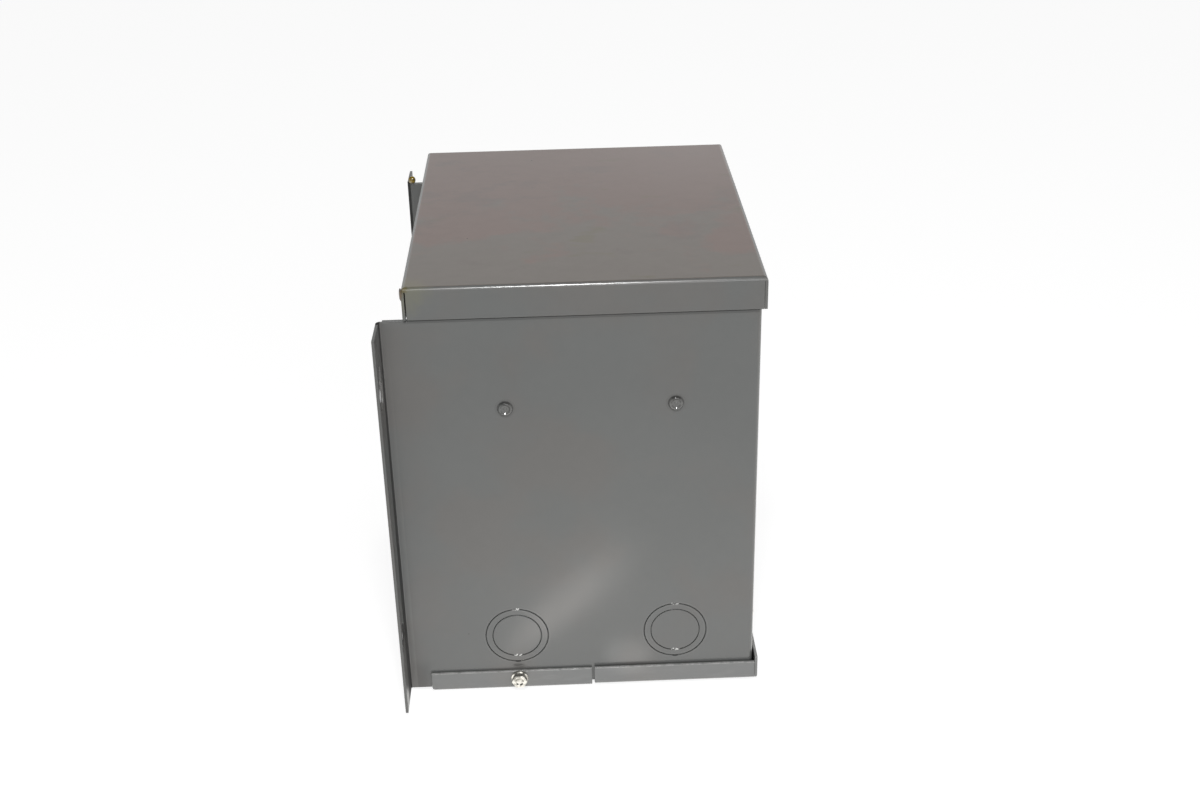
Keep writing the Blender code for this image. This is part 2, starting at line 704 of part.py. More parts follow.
def rivet_mesh():
    """A set blind rivet: a dished head round its mandrel's end, its shank, and the bulb behind the grip."""
    grip = SHEET + GAP + BRACKET_SHEET + 2 * HEAD_GAP
    end = grip + RIVET_BULB_LENGTH
    floor = RIVET_CROWN - RIVET_DISH_DEPTH
    slope = RIVET_HEAD - RIVET_CREST
    quarter = arc((0.0, 0.0), 1.0, math.pi / 2, 0.0, RIM_STEPS)
    rim = [(RIVET_CREST + slope * across, RIVET_CROWN * up) for across, up in quarter]
    body = turned("rivet_body", [
        (0.0, floor + RIVET_MANDREL_RISE), (RIVET_MANDREL / 2, floor + RIVET_MANDREL_RISE),
        (RIVET_MANDREL, floor), (RIVET_DISH, floor),
    ] + rim + [
        (RIVET_SHANK, 0.0), (RIVET_SHANK, -grip),
        (RIVET_BULB, -grip - RIVET_BULB_SHOULDER), (RIVET_BULB, RIVET_BULB_TAPER - end),
        (RIVET_SHANK, -end), (0.0, -end),
    ], FASTENER_SIDES)
    mesh = evaluated_mesh(body)
    hide_tool(body)
    return mesh


def set_fastener(name, mesh, seat, outward, material):
    """Places a fastener by its seat, with its head pointing outward."""
    piece = link(name, mesh)
    turn = Vector((0, 0, 1)).rotation_difference(Vector(outward)).to_matrix().to_4x4()
    piece.matrix_world = Matrix.Translation(seat) @ turn
    return finish(piece, material, smooth=True)


SIDES = {"left": -1, "right": 1}


def rivets(paint):
    """Two rivets on each side wall."""
    mesh = rivet_mesh()
    for hand, side in SIDES.items():
        for row, place in RIVET_PLACES.items():
            seat = (side * (HALF_WIDTH + HEAD_GAP), behind(place), RIVET_HEIGHT)
            set_fastener(f"rivet_{hand}_{row}", mesh, seat, (side, 0, 0), paint)


def screws(zinc):
    """A screw in each side lip of the rear pan, two in the front pan's front lip, one at the earthing lug."""
    mesh = screw_mesh(SCREW_LENGTH)
    for hand, side in SIDES.items():
        seat = (side * (REAR_PAN_HALF + HEAD_GAP), behind(SIDE_SCREW_PLACE), SIDE_SCREW_HEIGHT)
        set_fastener(f"rear_pan_screw_{hand}", mesh, seat, (side, 0, 0), zinc)
        front = behind(CASE_DEPTH + FRONT_LIP_GAP + SHEET + HEAD_GAP)
        seat = (side * FRONT_SCREW_ACROSS, front, FRONT_SCREW_HEIGHT)
        set_fastener(f"front_pan_screw_{hand}", mesh, seat, (0, -1, 0), zinc)
    lug_face = behind(COMPOUND_REAR + LUG_TANG + HEAD_GAP)
    short = screw_mesh(EARTHING_SCREW_LENGTH)
    set_fastener("earthing_screw", short, (LUG_ACROSS, lug_face, LUG_HEIGHT), (0, -1, 0), zinc)


# Core and its clamps

def core(steel):
    """E and I lamination stacks, in the standard proportions, with a hole in each outer leg."""
    window = LEG_WIDTH
    half = CORE_HALF_WIDTH
    inner = TONGUE / 2
    top = YOKE_UNDERSIDE - GAP
    outline = [
        (-half, CORE_BOTTOM), (half, CORE_BOTTOM), (half, top), (half - LEG_WIDTH, top),
        (half - LEG_WIDTH, WINDOW_BOTTOM), (inner, WINDOW_BOTTOM), (inner, top), (-inner, top),
        (-inner, WINDOW_BOTTOM), (-inner - window, WINDOW_BOTTOM), (-inner - window, top), (-half, top),
    ]
    rear = behind(CORE_PLACE - STACK / 2)
    front = behind(CORE_PLACE + STACK / 2)
    stack = plate("core_e_laminations", outline, "Y", front, rear)
    for side in (-1, 1):
        spot = (side * (half - CLAMP_BOLT_INSET), behind(CORE_PLACE), RIVET_HEIGHT)
        drill(stack, "Y", spot, CLAMP_BOLT_RADIUS + GAP, STACK + 2 * OVERCUT)
    finish(stack, steel)
    finish(box("core_i_laminations", (-half, front, YOKE_UNDERSIDE), (half, rear, CORE_TOP)), steel)


def bracket_shape(name, side, row, extra=0.0):
    """An angle: its foot lies on the side wall, and its leg on the end of the lamination stack."""
    foot = PANEL_HALF + extra
    face = BRACKET_FACE - extra
    edge = RIVET_OFFSET + BRACKET_EDGE + extra
    middle = behind(CORE_PLACE)
    corners = [
        (side * foot, middle + row * edge), (side * foot, middle + row * face),
        (side * (foot - BRACKET_REACH - 2 * extra), middle + row * face),
    ]
    thickness = BRACKET_SHEET + 2 * extra
    path = rounded_path(corners, thickness + BEND_INSIDE)
    if side * row > 0:
        path.reverse()
    low = RIVET_HEIGHT - BRACKET_HALF_HEIGHT - extra
    high = RIVET_HEIGHT + BRACKET_HALF_HEIGHT + extra
    return folded_sheet(name, path, "Z", low, high, thickness)


def brackets(steel):
    """Four angle brackets, one behind each rivet, that tie the core to the side walls."""
    for hand, side in SIDES.items():
        across = side * (CORE_HALF_WIDTH - CLAMP_BOLT_INSET)
        for (end, place), row in zip(RIVET_PLACES.items(), (1, -1)):
            bracket = bracket_shape(f"core_bracket_{hand}_{end}", side, row)
            foot = (side * PANEL_HALF, behind(place), RIVET_HEIGHT)
            drill(bracket, "X", foot, RIVET_SHANK + GAP, 2 * OVERCUT)
            leg = (across, behind(CORE_PLACE) + row * BRACKET_FACE, RIVET_HEIGHT)
            drill(bracket, "Y", leg, CLAMP_BOLT_RADIUS + GAP, 2 * OVERCUT)
            finish(bracket, steel)


def clamp_bolts(steel):
    """A bolt and a nut through each outer leg of the core and its two brackets."""
    length = 2 * CLAMP_FACE + CLAMP_NUT + CLAMP_BOLT_PAST_NUT
    shank = rod("clamp_shank", "Z", (0, 0, -length / 2), CLAMP_BOLT_RADIUS, length, FASTENER_SIDES)
    join(shank, hex_rod("clamp_head", CLAMP_BOLT_HEX, 0.0, CLAMP_HEAD))
    bolt_mesh = evaluated_mesh(shank)
    hide_tool(shank)
    nut = hex_rod("clamp_nut", CLAMP_BOLT_HEX, 0.0, CLAMP_NUT)
    bore = CLAMP_BOLT_RADIUS + GAP
    cut(nut, rod("clamp_nut_bore", "Z", (0, 0, CLAMP_NUT / 2), bore, CLAMP_NUT + OVERCUT, FASTENER_SIDES))
    nut_mesh = evaluated_mesh(nut)
    hide_tool(nut)
    for hand, side in SIDES.items():
        across = side * (CORE_HALF_WIDTH - CLAMP_BOLT_INSET)
        rear = (across, behind(CORE_PLACE) + CLAMP_FACE, RIVET_HEIGHT)
        front = (across, behind(CORE_PLACE) - CLAMP_FACE, RIVET_HEIGHT)
        set_fastener(f"clamp_bolt_{hand}", bolt_mesh, rear, (0, 1, 0), steel)
        set_fastener(f"clamp_nut_{hand}", nut_mesh, front, (0, -1, 0), steel)


# Coil

def ring(name, inner_x, inner_y, low, high, thickness):
    """A wall of even thickness round a rectangle with rounded corners, about the core's middle."""
    middle = behind(CORE_PLACE)
    corners = [
        (-inner_x, middle - inner_y), (-inner_x, middle + inner_y),
        (inner_x, middle + inner_y), (inner_x, middle - inner_y),
    ]
    path = rounded_path(corners, inner_x - TONGUE / 2, closed=True)
    return folded_sheet(name, path, "Z", low, high, thickness, closed=True)


def former(plastic):
    """The winding former: a tube round the core's middle leg with a flange at each end."""
    inner_x = TONGUE / 2 + FORMER_CLEARANCE
    inner_y = STACK / 2 + FORMER_CLEARANCE
    outer_x = TONGUE / 2 + LEG_WIDTH - FORMER_CLEARANCE
    tube = ring("winding_former", inner_x, inner_y, FORMER_BOTTOM, FORMER_TOP, FORMER_WALL)
    middle = behind(CORE_PLACE)
    for low in (FORMER_BOTTOM, FORMER_TOP - FORMER_WALL):
        flange = box(
            f"former_flange_{round(low / MM)}", (-outer_x, middle - COIL_HALF_DEPTH, low),
            (outer_x, middle + COIL_HALF_DEPTH, low + FORMER_WALL),
        )
        opening = box(
            f"former_opening_{round(low / MM)}",
            (-inner_x - FORMER_WALL / 2, middle - inner_y - FORMER_WALL / 2, low - OVERCUT),
            (inner_x + FORMER_WALL / 2, middle + inner_y + FORMER_WALL / 2, low + OVERCUT),
        )
        cut(flange, opening)
        join(tube, flange)
    return finish(tube, plastic)


def windings(copper, paper, wrap):
    """The inner winding, layer insulation, outer winding and outer wrap, each round the one before."""
    x = TONGUE / 2 + FORMER_CLEARANCE + FORMER_WALL + GAP
    y = STACK / 2 + FORMER_CLEARANCE + FORMER_WALL + GAP
    low = FORMER_BOTTOM + FORMER_WALL + GAP
    high = FORMER_TOP - FORMER_WALL - GAP
    layers = (
        ("inner_winding", WINDING_BUILD, copper), ("layer_insulation", LAYER_INSULATION, paper),
        ("outer_winding", WINDING_BUILD, copper), ("coil_outer_wrap", OUTER_WRAP, wrap),
    )
    for name, thickness, material in layers:
        finish(ring(name, x, y, low, high, thickness), material)
        x += thickness + GAP
        y += thickness + GAP


# Compound, pad, leads and earthing

def lead_places():
    """Where each lead leaves the coil: its name, its X and its distance from the wall, and its run's way."""
    for label, row, way in (("primary", -1, 1), ("secondary", 1, -1)):
        for number in range(LEADS_PER_SIDE):
            offset = STACK / 2 + LEAD_FIRST + LEAD_PITCH * (number + 0.5)
            across = way * (LEAD_STAGGER * number - LEAD_START * HALF_WIDTH)
            yield f"{label}_lead_{number + 1}", across, CORE_PLACE + row * offset, way


def leads(insulation):
    """Eight insulated leads that come down out of the compound and turn along the compartment."""
    bend_top = COMPARTMENT_CEILING - LEAD_DROP
    bend = arc((LEAD_BEND, bend_top), LEAD_BEND, math.pi, 1.5 * math.pi, LEAD_BEND_STEPS)
    for name, across, place, way in lead_places():
        y = behind(place)
        route = [(across, y, WINDOW_BOTTOM)]
        route += [(across + way * along, y, height) for along, height in bend]
        route.append((across + way * (LEAD_BEND + LEAD_RUN * HALF_WIDTH), y, bend_top - LEAD_BEND))
        finish(tube(name, route, LEAD_RADIUS), insulation, smooth=True)


def tube(name, route, radius):
    """A round tube along a route, with closed ends."""
    curve = bpy.data.curves.new(name, "CURVE")
    curve.dimensions = "3D"
    curve.bevel_depth = radius
    curve.bevel_resolution = 2
    curve.use_fill_caps = True
    spline = curve.splines.new("POLY")
    spline.points.add(len(route) - 1)
    for point, spot in zip(spline.points, route):
        point.co = (*spot, 1.0)
    guide = link(name + "_route", curve)
    mesh = evaluated_mesh(guide)
    bpy.data.objects.remove(guide, do_unlink=True)
    shape = bmesh.new()
    shape.from_mesh(mesh)
    bmesh.ops.remove_doubles(shape, verts=shape.verts, dist=0.000001)
    shape.to_mesh(mesh)
    shape.free()
    return link(name, mesh)


def potting_compound(resin):
    """The resin block, cast round the core, coil, brackets, bolts and leads, and open at the core's top."""
    half = PANEL_HALF
    front = behind(COMPOUND_FRONT)
    rear = behind(COMPOUND_REAR)
    block = box("potting_compound", (-half, front, COMPARTMENT_CEILING), (half, rear, CASE_TOP))
    soften = block.modifiers.new("corners", "BEVEL")
    soften.width = COMPOUND_CORNER
    soften.segments = COMPOUND_CORNER_STEPS
    soften.limit_method = "ANGLE"
    middle = behind(CORE_PLACE)
    cut(block, box(
        "core_pocket", (-CORE_HALF_WIDTH - GAP, middle - BRACKET_FACE, CORE_BOTTOM - GAP),
        (CORE_HALF_WIDTH + GAP, middle + BRACKET_FACE, CASE_TOP + OVERCUT),
    ))
    cut(block, box(
        "coil_pocket", (-TONGUE, middle - COIL_HALF_DEPTH - GAP, WINDOW_BOTTOM),
        (TONGUE, middle + COIL_HALF_DEPTH + GAP, YOKE_UNDERSIDE),
    ))
    bolt_reach = CLAMP_FACE + CLAMP_NUT + CLAMP_BOLT_PAST_NUT + GAP
    bolt_room = CLAMP_BOLT_HEX / math.sqrt(3) + GAP
    rivet_room = SHEET + 2 * GAP + BRACKET_SHEET + RIVET_BULB_LENGTH + GAP
    for hand, side in SIDES.items():
        spot = (side * (CORE_HALF_WIDTH - CLAMP_BOLT_INSET), middle, RIVET_HEIGHT)
        cut(block, rod(f"bolt_pocket_{hand}", "Y", spot, bolt_room, 2 * bolt_reach))
        for row, place in zip((1, -1), RIVET_PLACES.values()):
            cut(block, bracket_shape(f"bracket_pocket_{hand}_{row:+d}", side, row, extra=GAP))
            spot = (side * (HALF_WIDTH - rivet_room / 2), behind(place), RIVET_HEIGHT)
            name = f"rivet_pocket_{hand}_{row:+d}"
            cut(block, rod(name, "X", spot, RIVET_BULB + GAP, rivet_room, HOLE_SIDES))
    for name, across, place, _ in lead_places():
        low = COMPARTMENT_CEILING - OVERCUT
        high = WINDOW_BOTTOM + GAP
        spot = (across, behind(place), (low + high) / 2)
        cut(block, rod(name + "_hole", "Z", spot, LEAD_RADIUS + GAP, high - low, LEAD_HOLE_SIDES))
    return finish(block, resin)


def core_pad(paper):
    """The insulating pad between the core's top and the cover."""
    middle = behind(CORE_PLACE)
    pad = box(
        "core_pad", (-CORE_HALF_WIDTH, middle - STACK / 2, CORE_TOP + GAP),
        (CORE_HALF_WIDTH, middle + STACK / 2, CASE_TOP),
    )
    return finish(pad, paper)


def earthing_lug(aluminium):
    """A lay-in lug on the back panel: a drilled tang, and a block above it with a bore for the wire."""
    rear = behind(COMPOUND_REAR)
    low = LUG_HEIGHT - LUG_TANG_LENGTH / 2
    high = LUG_HEIGHT + LUG_TANG_LENGTH / 2
    left, right = LUG_ACROSS - LUG_WIDTH / 2, LUG_ACROSS + LUG_WIDTH / 2
    lug = box("earthing_lug", (left, rear - LUG_TANG, low), (right, rear, high + LUG_BLOCK / 2))
    join(lug, box("lug_block", (left, rear - LUG_BLOCK, high), (right, rear, high + LUG_BLOCK)))
    bore = (LUG_ACROSS, rear - LUG_BLOCK / 2 - LUG_BORE_FORWARD, high + LUG_BLOCK / 2)
    drill(lug, "X", bore, LUG_BORE, LUG_WIDTH + 2 * OVERCUT)
    drill(lug, "Y", (LUG_ACROSS, rear, LUG_HEIGHT), SCREW_SHANK + GAP, 2 * OVERCUT)
    return finish(lug, aluminium)


# Resin beads

def drop(name, centre, half_sizes):
    """An egg-shaped drop, by its middle and its half sizes."""
    shape = bmesh.new()
    place = Matrix.Translation(centre) @ Matrix.Diagonal((*half_sizes, 1.0))
    bmesh.ops.create_uvsphere(shape, u_segments=BEAD_COLUMNS, v_segments=BEAD_ROWS, radius=1.0, matrix=place)
    mesh = bpy.data.meshes.new(name)
    shape.to_mesh(mesh)
    shape.free()
    return link(name, mesh)


def resin_beads(amber):
    """Resin that seeped out and set: a drop on the right leg's top, a run at the cover's left rear corner."""
    across, y = HALF_WIDTH - SHEET - GAP / 2, behind(LEG_BEAD_PLACE)
    half_sizes = (LEG_BEAD_HALF_WIDTH, LEG_BEAD_HALF_DEPTH, LEG_BEAD_HALF_HEIGHT)
    bead = drop("resin_bead_right_leg", (across, y, LEG_TOP + LEG_BEAD_HALF_HEIGHT / 2), half_sizes)
    cut(bead, box(
        "leg_bead_cutter", (across - OVERCUT, y - OVERCUT, LEG_TOP - OVERCUT),
        (across + OVERCUT, y + OVERCUT, LEG_TOP + HEAD_GAP),
    ))
    finish(bead, amber, smooth=True)
    centre = (-COVER_HALF, behind(COVER_SETBACK), TOTAL_HEIGHT - CORNER_BEAD_DROP)
    half_sizes = (CORNER_BEAD_RADIUS, CORNER_BEAD_RADIUS, CORNER_BEAD_HALF_HEIGHT)
    bead = drop("resin_bead_cover_corner", centre, half_sizes)
    cut(bead, box(
        "corner_bead_cutter",
        (-COVER_HALF - HEAD_GAP, behind(COVER_SETBACK) - COVER_SKIRT, COVER_BOTTOM),
        (-COVER_HALF + COVER_SKIRT, behind(COVER_SETBACK) + HEAD_GAP, TOTAL_HEIGHT + HEAD_GAP),
    ))
    finish(bead, amber, smooth=True)


def build():
    """Builds every piece."""
    clear_scene()
    paint = principled("grey_enamel", (0.17, 0.17, 0.17), 0.42)
    zinc = principled("zinc_plate", (0.72, 0.71, 0.67), 0.3, 1.0)
    lamination = principled("lamination_steel", (0.16, 0.16, 0.17), 0.5, 0.9)
    plain_steel = principled("plain_steel", (0.45, 0.45, 0.46), 0.4, 1.0)
    copper = principled("enamelled_copper", (0.45, 0.16, 0.05), 0.35, 0.6)
    paper = principled("insulating_paper", (0.55, 0.42, 0.25), 0.8)
    tape = principled("yellow_tape", (0.62, 0.5, 0.12), 0.5)
    nylon = principled("natural_nylon", (0.75, 0.73, 0.66), 0.5)
    compound = principled("potting_resin", (0.06, 0.055, 0.05), 0.6)
    insulation = principled("lead_insulation", (0.1, 0.1, 0.1), 0.5)
    aluminium = principled("aluminium", (0.7, 0.7, 0.71), 0.4, 1.0)
    amber = principled("amber_resin", (0.35, 0.2, 0.03), 0.2)
    case_wrap(paint)
    back_panel(paint)
    top_cover(paint)
    rear_bottom_pan(paint)
    front_bottom_pan(paint)
    rivets(paint)
    screws(zinc)
    core(lamination)
    brackets(plain_steel)
    clamp_bolts(plain_steel)
    former(nylon)
    windings(copper, paper, tape)
    core_pad(paper)
    potting_compound(compound)
    leads(insulation)
    earthing_lug(aluminium)
    resin_beads(amber)


build()
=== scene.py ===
"""Looks of a wall-mount, resin-filled single-phase transformer in a grey enamelled steel case.

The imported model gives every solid. This script dresses them, and adds turned rivets, threaded
screws and set drops of resin as surfaces worked out with numpy.
"""

import logging
import math
from dataclasses import dataclass
from enum import Enum
from typing import Optional, Sequence, Union

import bmesh
import bpy
import numpy as np
from mathutils import Matrix, Vector


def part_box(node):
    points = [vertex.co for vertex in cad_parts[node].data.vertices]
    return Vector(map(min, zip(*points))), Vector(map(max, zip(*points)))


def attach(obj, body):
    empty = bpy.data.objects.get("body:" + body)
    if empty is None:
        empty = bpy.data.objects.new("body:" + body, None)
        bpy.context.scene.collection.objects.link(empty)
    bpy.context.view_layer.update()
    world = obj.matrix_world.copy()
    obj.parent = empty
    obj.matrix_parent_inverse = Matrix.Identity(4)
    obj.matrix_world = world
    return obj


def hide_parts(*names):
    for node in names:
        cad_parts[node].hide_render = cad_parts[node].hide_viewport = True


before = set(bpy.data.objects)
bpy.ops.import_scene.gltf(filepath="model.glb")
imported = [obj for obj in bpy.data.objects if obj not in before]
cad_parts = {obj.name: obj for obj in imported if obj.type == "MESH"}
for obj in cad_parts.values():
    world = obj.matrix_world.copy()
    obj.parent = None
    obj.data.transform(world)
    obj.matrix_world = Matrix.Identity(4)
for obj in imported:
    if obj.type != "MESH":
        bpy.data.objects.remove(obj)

LOG = logging.getLogger("transformer")
MM = 0.001
MERGE = 0.000001
RIVET_HEAD = 3.175 * MM
RIVET_HEIGHT = 145.0 * MM
REAR_LIP_TOP = 9.75 * MM
FRONT_LIP_TOP = 10.15 * MM
Colour = tuple[float, float, float]
Spot = tuple[float, float, float]
Span = tuple[float, float]
Band = tuple[float, float, float]
Value = Union["Wire", float, int]
Material = bpy.types.Material
Piece = bpy.types.Object
WHITE: Colour = (1.0, 1.0, 1.0)


# Shader maths


class Wire:
    """A shader socket that carries a number, with operators that add Math nodes."""

    def __init__(self, graph: "Graph", socket: bpy.types.NodeSocket) -> None:
        """Wraps a socket.

        Args:
            graph: The node graph that owns the socket.
            socket: An output socket.
        """
        self.graph = graph
        self.socket = socket

    def _math(self, operation: str, first: Value, second: Value) -> "Wire":
        """Adds one Math node and gives its result."""
        return self.graph.node("ShaderNodeMath", {"operation": operation}, {0: first, 1: second})

    def __add__(self, other: Value) -> "Wire":
        """Sum."""
        return self._math("ADD", self, other)

    __radd__ = __add__

    def __sub__(self, other: Value) -> "Wire":
        """Difference."""
        return self._math("SUBTRACT", self, other)

    def __rsub__(self, other: Value) -> "Wire":
        """Difference, with the wire second."""
        return self._math("SUBTRACT", other, self)

    def __mul__(self, other: Value) -> "Wire":
        """Product."""
        return self._math("MULTIPLY", self, other)

    __rmul__ = __mul__

    def __truediv__(self, other: Value) -> "Wire":
        """Quotient."""
        return self._math("DIVIDE", self, other)

    def __pow__(self, other: Value) -> "Wire":
        """Power."""
        return self._math("POWER", self, other)

    def __abs__(self) -> "Wire":
        """Size without its sign."""
        return self._math("ABSOLUTE", self, 0.0)

    def larger(self, other: Value) -> "Wire":
        """The larger of two."""
        return self._math("MAXIMUM", self, other)

    def ramp(self, start: float, end: float) -> "Wire":
        """Rises smoothly from 0 at start to 1 at end, or falls where end is the smaller.

        Args:
            start: The value that gives 0.
            end: The value that gives 1.

        Returns:
            The smooth step.
        """
        low, high = min(start, end), max(start, end)
        to_low, to_high = (0.0, 1.0) if end > start else (1.0, 0.0)
        return self.graph.node(
            "ShaderNodeMapRange", {"interpolation_type": "SMOOTHSTEP"},
            {"Value": self, "From Min": low, "From Max": high, "To Min": to_low, "To Max": to_high},
        )

    def band(self, low: float, high: float, soft: float) -> "Wire":
        """1 between two values, fading out over a soft distance outside them."""
        return self.ramp(low - soft, low) * self.ramp(high + soft, high)

    def wave(self, pitch: float) -> "Wire":
        """A sine, from -1 to 1, that repeats once a pitch."""
        return self._math("SINE", self * (2.0 * math.pi / pitch), 0.0)


def oval(across: Wire, half_width: float, up: Wire, half_height: float) -> Wire:
    """The field of an oval: each offset over its half, squared, and both added.

    Args:
        across: The offset from its middle along its width.
        half_width: Half its width.
        up: The offset from its middle along its height.
        half_height: Half its height.

    Returns:
        The field, which is 0 at the middle and 1 on the rim.
    """
    across, up = across / half_width, up / half_height
    return across * across + up * up


class Graph:
    """Builds the nodes of a material or of the world."""

    def __init__(self, tree: bpy.types.NodeTree) -> None:
        """Takes over a node tree."""
        self.tree = tree

    def node(
        self, kind: str, settings: dict[str, object], inputs: dict[Union[str, int], object],
        output: Union[str, int] = 0,
    ) -> Wire:
        """Adds a node.

        Args:
            kind: The node's type.
            settings: Its settings, which are set first.
            inputs: The values or links of its sockets.
            output: The output that is wanted.

        Returns:
            That output as a wire.
        """
        made = self.tree.nodes.new(kind)
        for key, value in settings.items():
            setattr(made, key, value)
        for key, value in inputs.items():
            self.feed(made.inputs[key], value)
        return Wire(self, made.outputs[output])

    def feed(self, socket: bpy.types.NodeSocket, value: object) -> None:
        """Links a wire or a socket to a socket, or sets its value.

        Args:
            socket: The input socket.
            value: A wire, an output socket, a number, a colour or a vector.
        """
        if isinstance(value, Wire):
            self.tree.links.new(value.socket, socket)
        elif isinstance(value, bpy.types.NodeSocket):
            self.tree.links.new(value, socket)
        elif isinstance(value, tuple) and len(value) == 3 and socket.type == "RGBA":
            socket.default_value = (*value, 1.0)
        else:
            socket.default_value = value

    def mix(self, factor: Value, first: object, second: object) -> Wire:
        """A colour between two, by a factor from 0 to 1."""
        return self.node(
            "ShaderNodeMix", {"data_type": "RGBA", "clamp_factor": True},
            {"Factor": factor, 6: first, 7: second}, 2,
        )

    def choose(self, factor: Value, first: Value, second: Value) -> Wire:
        """A number between two, by a factor from 0 to 1."""
        return self.node("ShaderNodeMix", {}, {"Factor": factor, "A": first, "B": second})

    def grey(self, amount: Value) -> Wire:
        """A grey of one amount."""
        return self.node("ShaderNodeCombineXYZ", {}, {0: amount, 1: amount, 2: amount})

    def ray(self, kind: str) -> Wire:
        """1 for rays of one kind, such as camera or glossy, and 0 for the others."""
        return self.node("ShaderNodeLightPath", {}, {}, f"Is {kind} Ray")

    def seen(self) -> Wire:
        """1 where the camera looks straight or through something clear, and 0 for other rays."""
        return self.ray("Camera").larger(self.ray("Transmission"))


class Shader(Graph):
    """Builds one material's nodes round a Principled shader.

    Its place is the socket of the object coordinates, and x, y and z are those as wires, in metres.
    """

    def __init__(self, name: str) -> None:
        """Starts a plain material.

        Args:
            name: The material's name.
        """
        self.material = bpy.data.materials.new(name)
        self.material.use_nodes = True
        super().__init__(self.material.node_tree)
        self.surface = self.tree.nodes["Principled BSDF"]
        self.place = self.tree.nodes.new("ShaderNodeTexCoord").outputs["Object"]
        self.x, self.y, self.z = (
            self.node("ShaderNodeSeparateXYZ", {}, {0: self.place}, letter) for letter in "XYZ"
        )

    def distance(self, spot: Spot) -> Wire:
        """How far the surface is from a spot, in metres."""
        settings, inputs = {"operation": "DISTANCE"}, {0: self.place, 1: spot}
        return self.node("ShaderNodeVectorMath", settings, inputs, "Value")

    def shifted(self, shift: float, stretch: Spot = WHITE) -> Wire:
        """The place, stretched along each axis and then shifted by one offset along all three."""
        inputs = {"Vector": self.place, "Scale": stretch, "Location": (shift, shift, shift)}
        return self.node("ShaderNodeMapping", {}, inputs)

    def noise(
        self, size: float, detail: float = 2.0, roughness: float = 0.5, stretch: Spot = WHITE,
        shift: float = 0.0,
    ) -> Wire:
        """Fractal noise from 0 to 1, about 0.5.

        Args:
            size: The size of its largest lumps, in metres.
            detail: How many finer octaves it has.
            roughness: How strong the finer octaves are.
            stretch: How much denser it is along each axis.
            shift: An offset that gives another pattern.

        Returns:
            The noise.
        """
        inputs = {"Vector": self.shifted(shift, stretch), "Scale": 1.0 / size}
        inputs |= {"Detail": detail, "Roughness": roughness}
        return self.node("ShaderNodeTexNoise", {}, inputs)

    def spots(self, size: float, reach: float, shift: float = 0.0) -> Wire:
        """Sparse round specks: 1 at each speck's middle and 0 beyond its reach.

        Args:
            size: The mean distance between specks, in metres.
            reach: A speck's radius as a share of that distance.
            shift: An offset that gives another pattern.

        Returns:
            The specks' mask.
        """
        inputs = {"Vector": self.shifted(shift), "Scale": 1.0 / size}
        distance = self.node("ShaderNodeTexVoronoi", {}, inputs, "Distance")
        return distance.ramp(reach, reach * 0.3)

    def shade(self, colour: object, amount: Value) -> Wire:
        """A colour multiplied by a grey amount."""
        inputs = {0: colour, 1: self.grey(amount)}
        return self.node("ShaderNodeVectorMath", {"operation": "MULTIPLY"}, inputs)

    def rounded(self, radius: float) -> Wire:
        """The surface's normal, with every edge and bend softened over a radius."""
        return self.node("ShaderNodeBevel", {"samples": 6}, {"Radius": radius})

    def bump(self, height: Value, depth: float, strength: float, under: object = None) -> Wire:
        """A normal from a height field.

        Args:
            height: The height, from 0 to 1.
            depth: The depth that 1 stands for, in metres.
            strength: The bump's share.
            under: The normal that it bends, where that isn't the surface's own.

        Returns:
            The bent normal.
        """
        inputs = {"Height": height, "Distance": depth, "Strength": strength}
        if under is not None:
            inputs["Normal"] = under
        return self.node("ShaderNodeBump", {}, inputs)

    def dress(self, constants: dict[str, object], **sockets: object) -> None:
        """Feeds the Principled shader.

        Args:
            constants: Values that are the same all over the surface.
            **sockets: What changes over it: colour, roughness, metallic, normal and glow.
        """
        names = {
            "colour": "Base Color", "roughness": "Roughness", "metallic": "Metallic",
            "normal": "Normal", "glow": "Emission Color",
        }
        for key, value in constants.items():
            self.feed(self.surface.inputs[key], value)
        for key, value in sockets.items():
            self.feed(self.surface.inputs[names[key]], value)


# Finishes


class Tone(Enum):
    """How a sheet-metal piece's enamel has aged."""

    PLAIN = "plain"
    DUST_AND_SHEEN = "dust_and_sheen"
    HANDLED = "handled"


@dataclass(frozen=True)
class Finish:
    """What a surface is made of. Each kind of finish has its own way to lay it."""

    name: str

    def lay(self, shader: Shader) -> None:
        """Feeds a shader with the finish."""
        raise NotImplementedError

    def material(self) -> Material:
        """A new material with the finish on it."""
        self.lay(shader := Shader(self.name))
        return shader.material


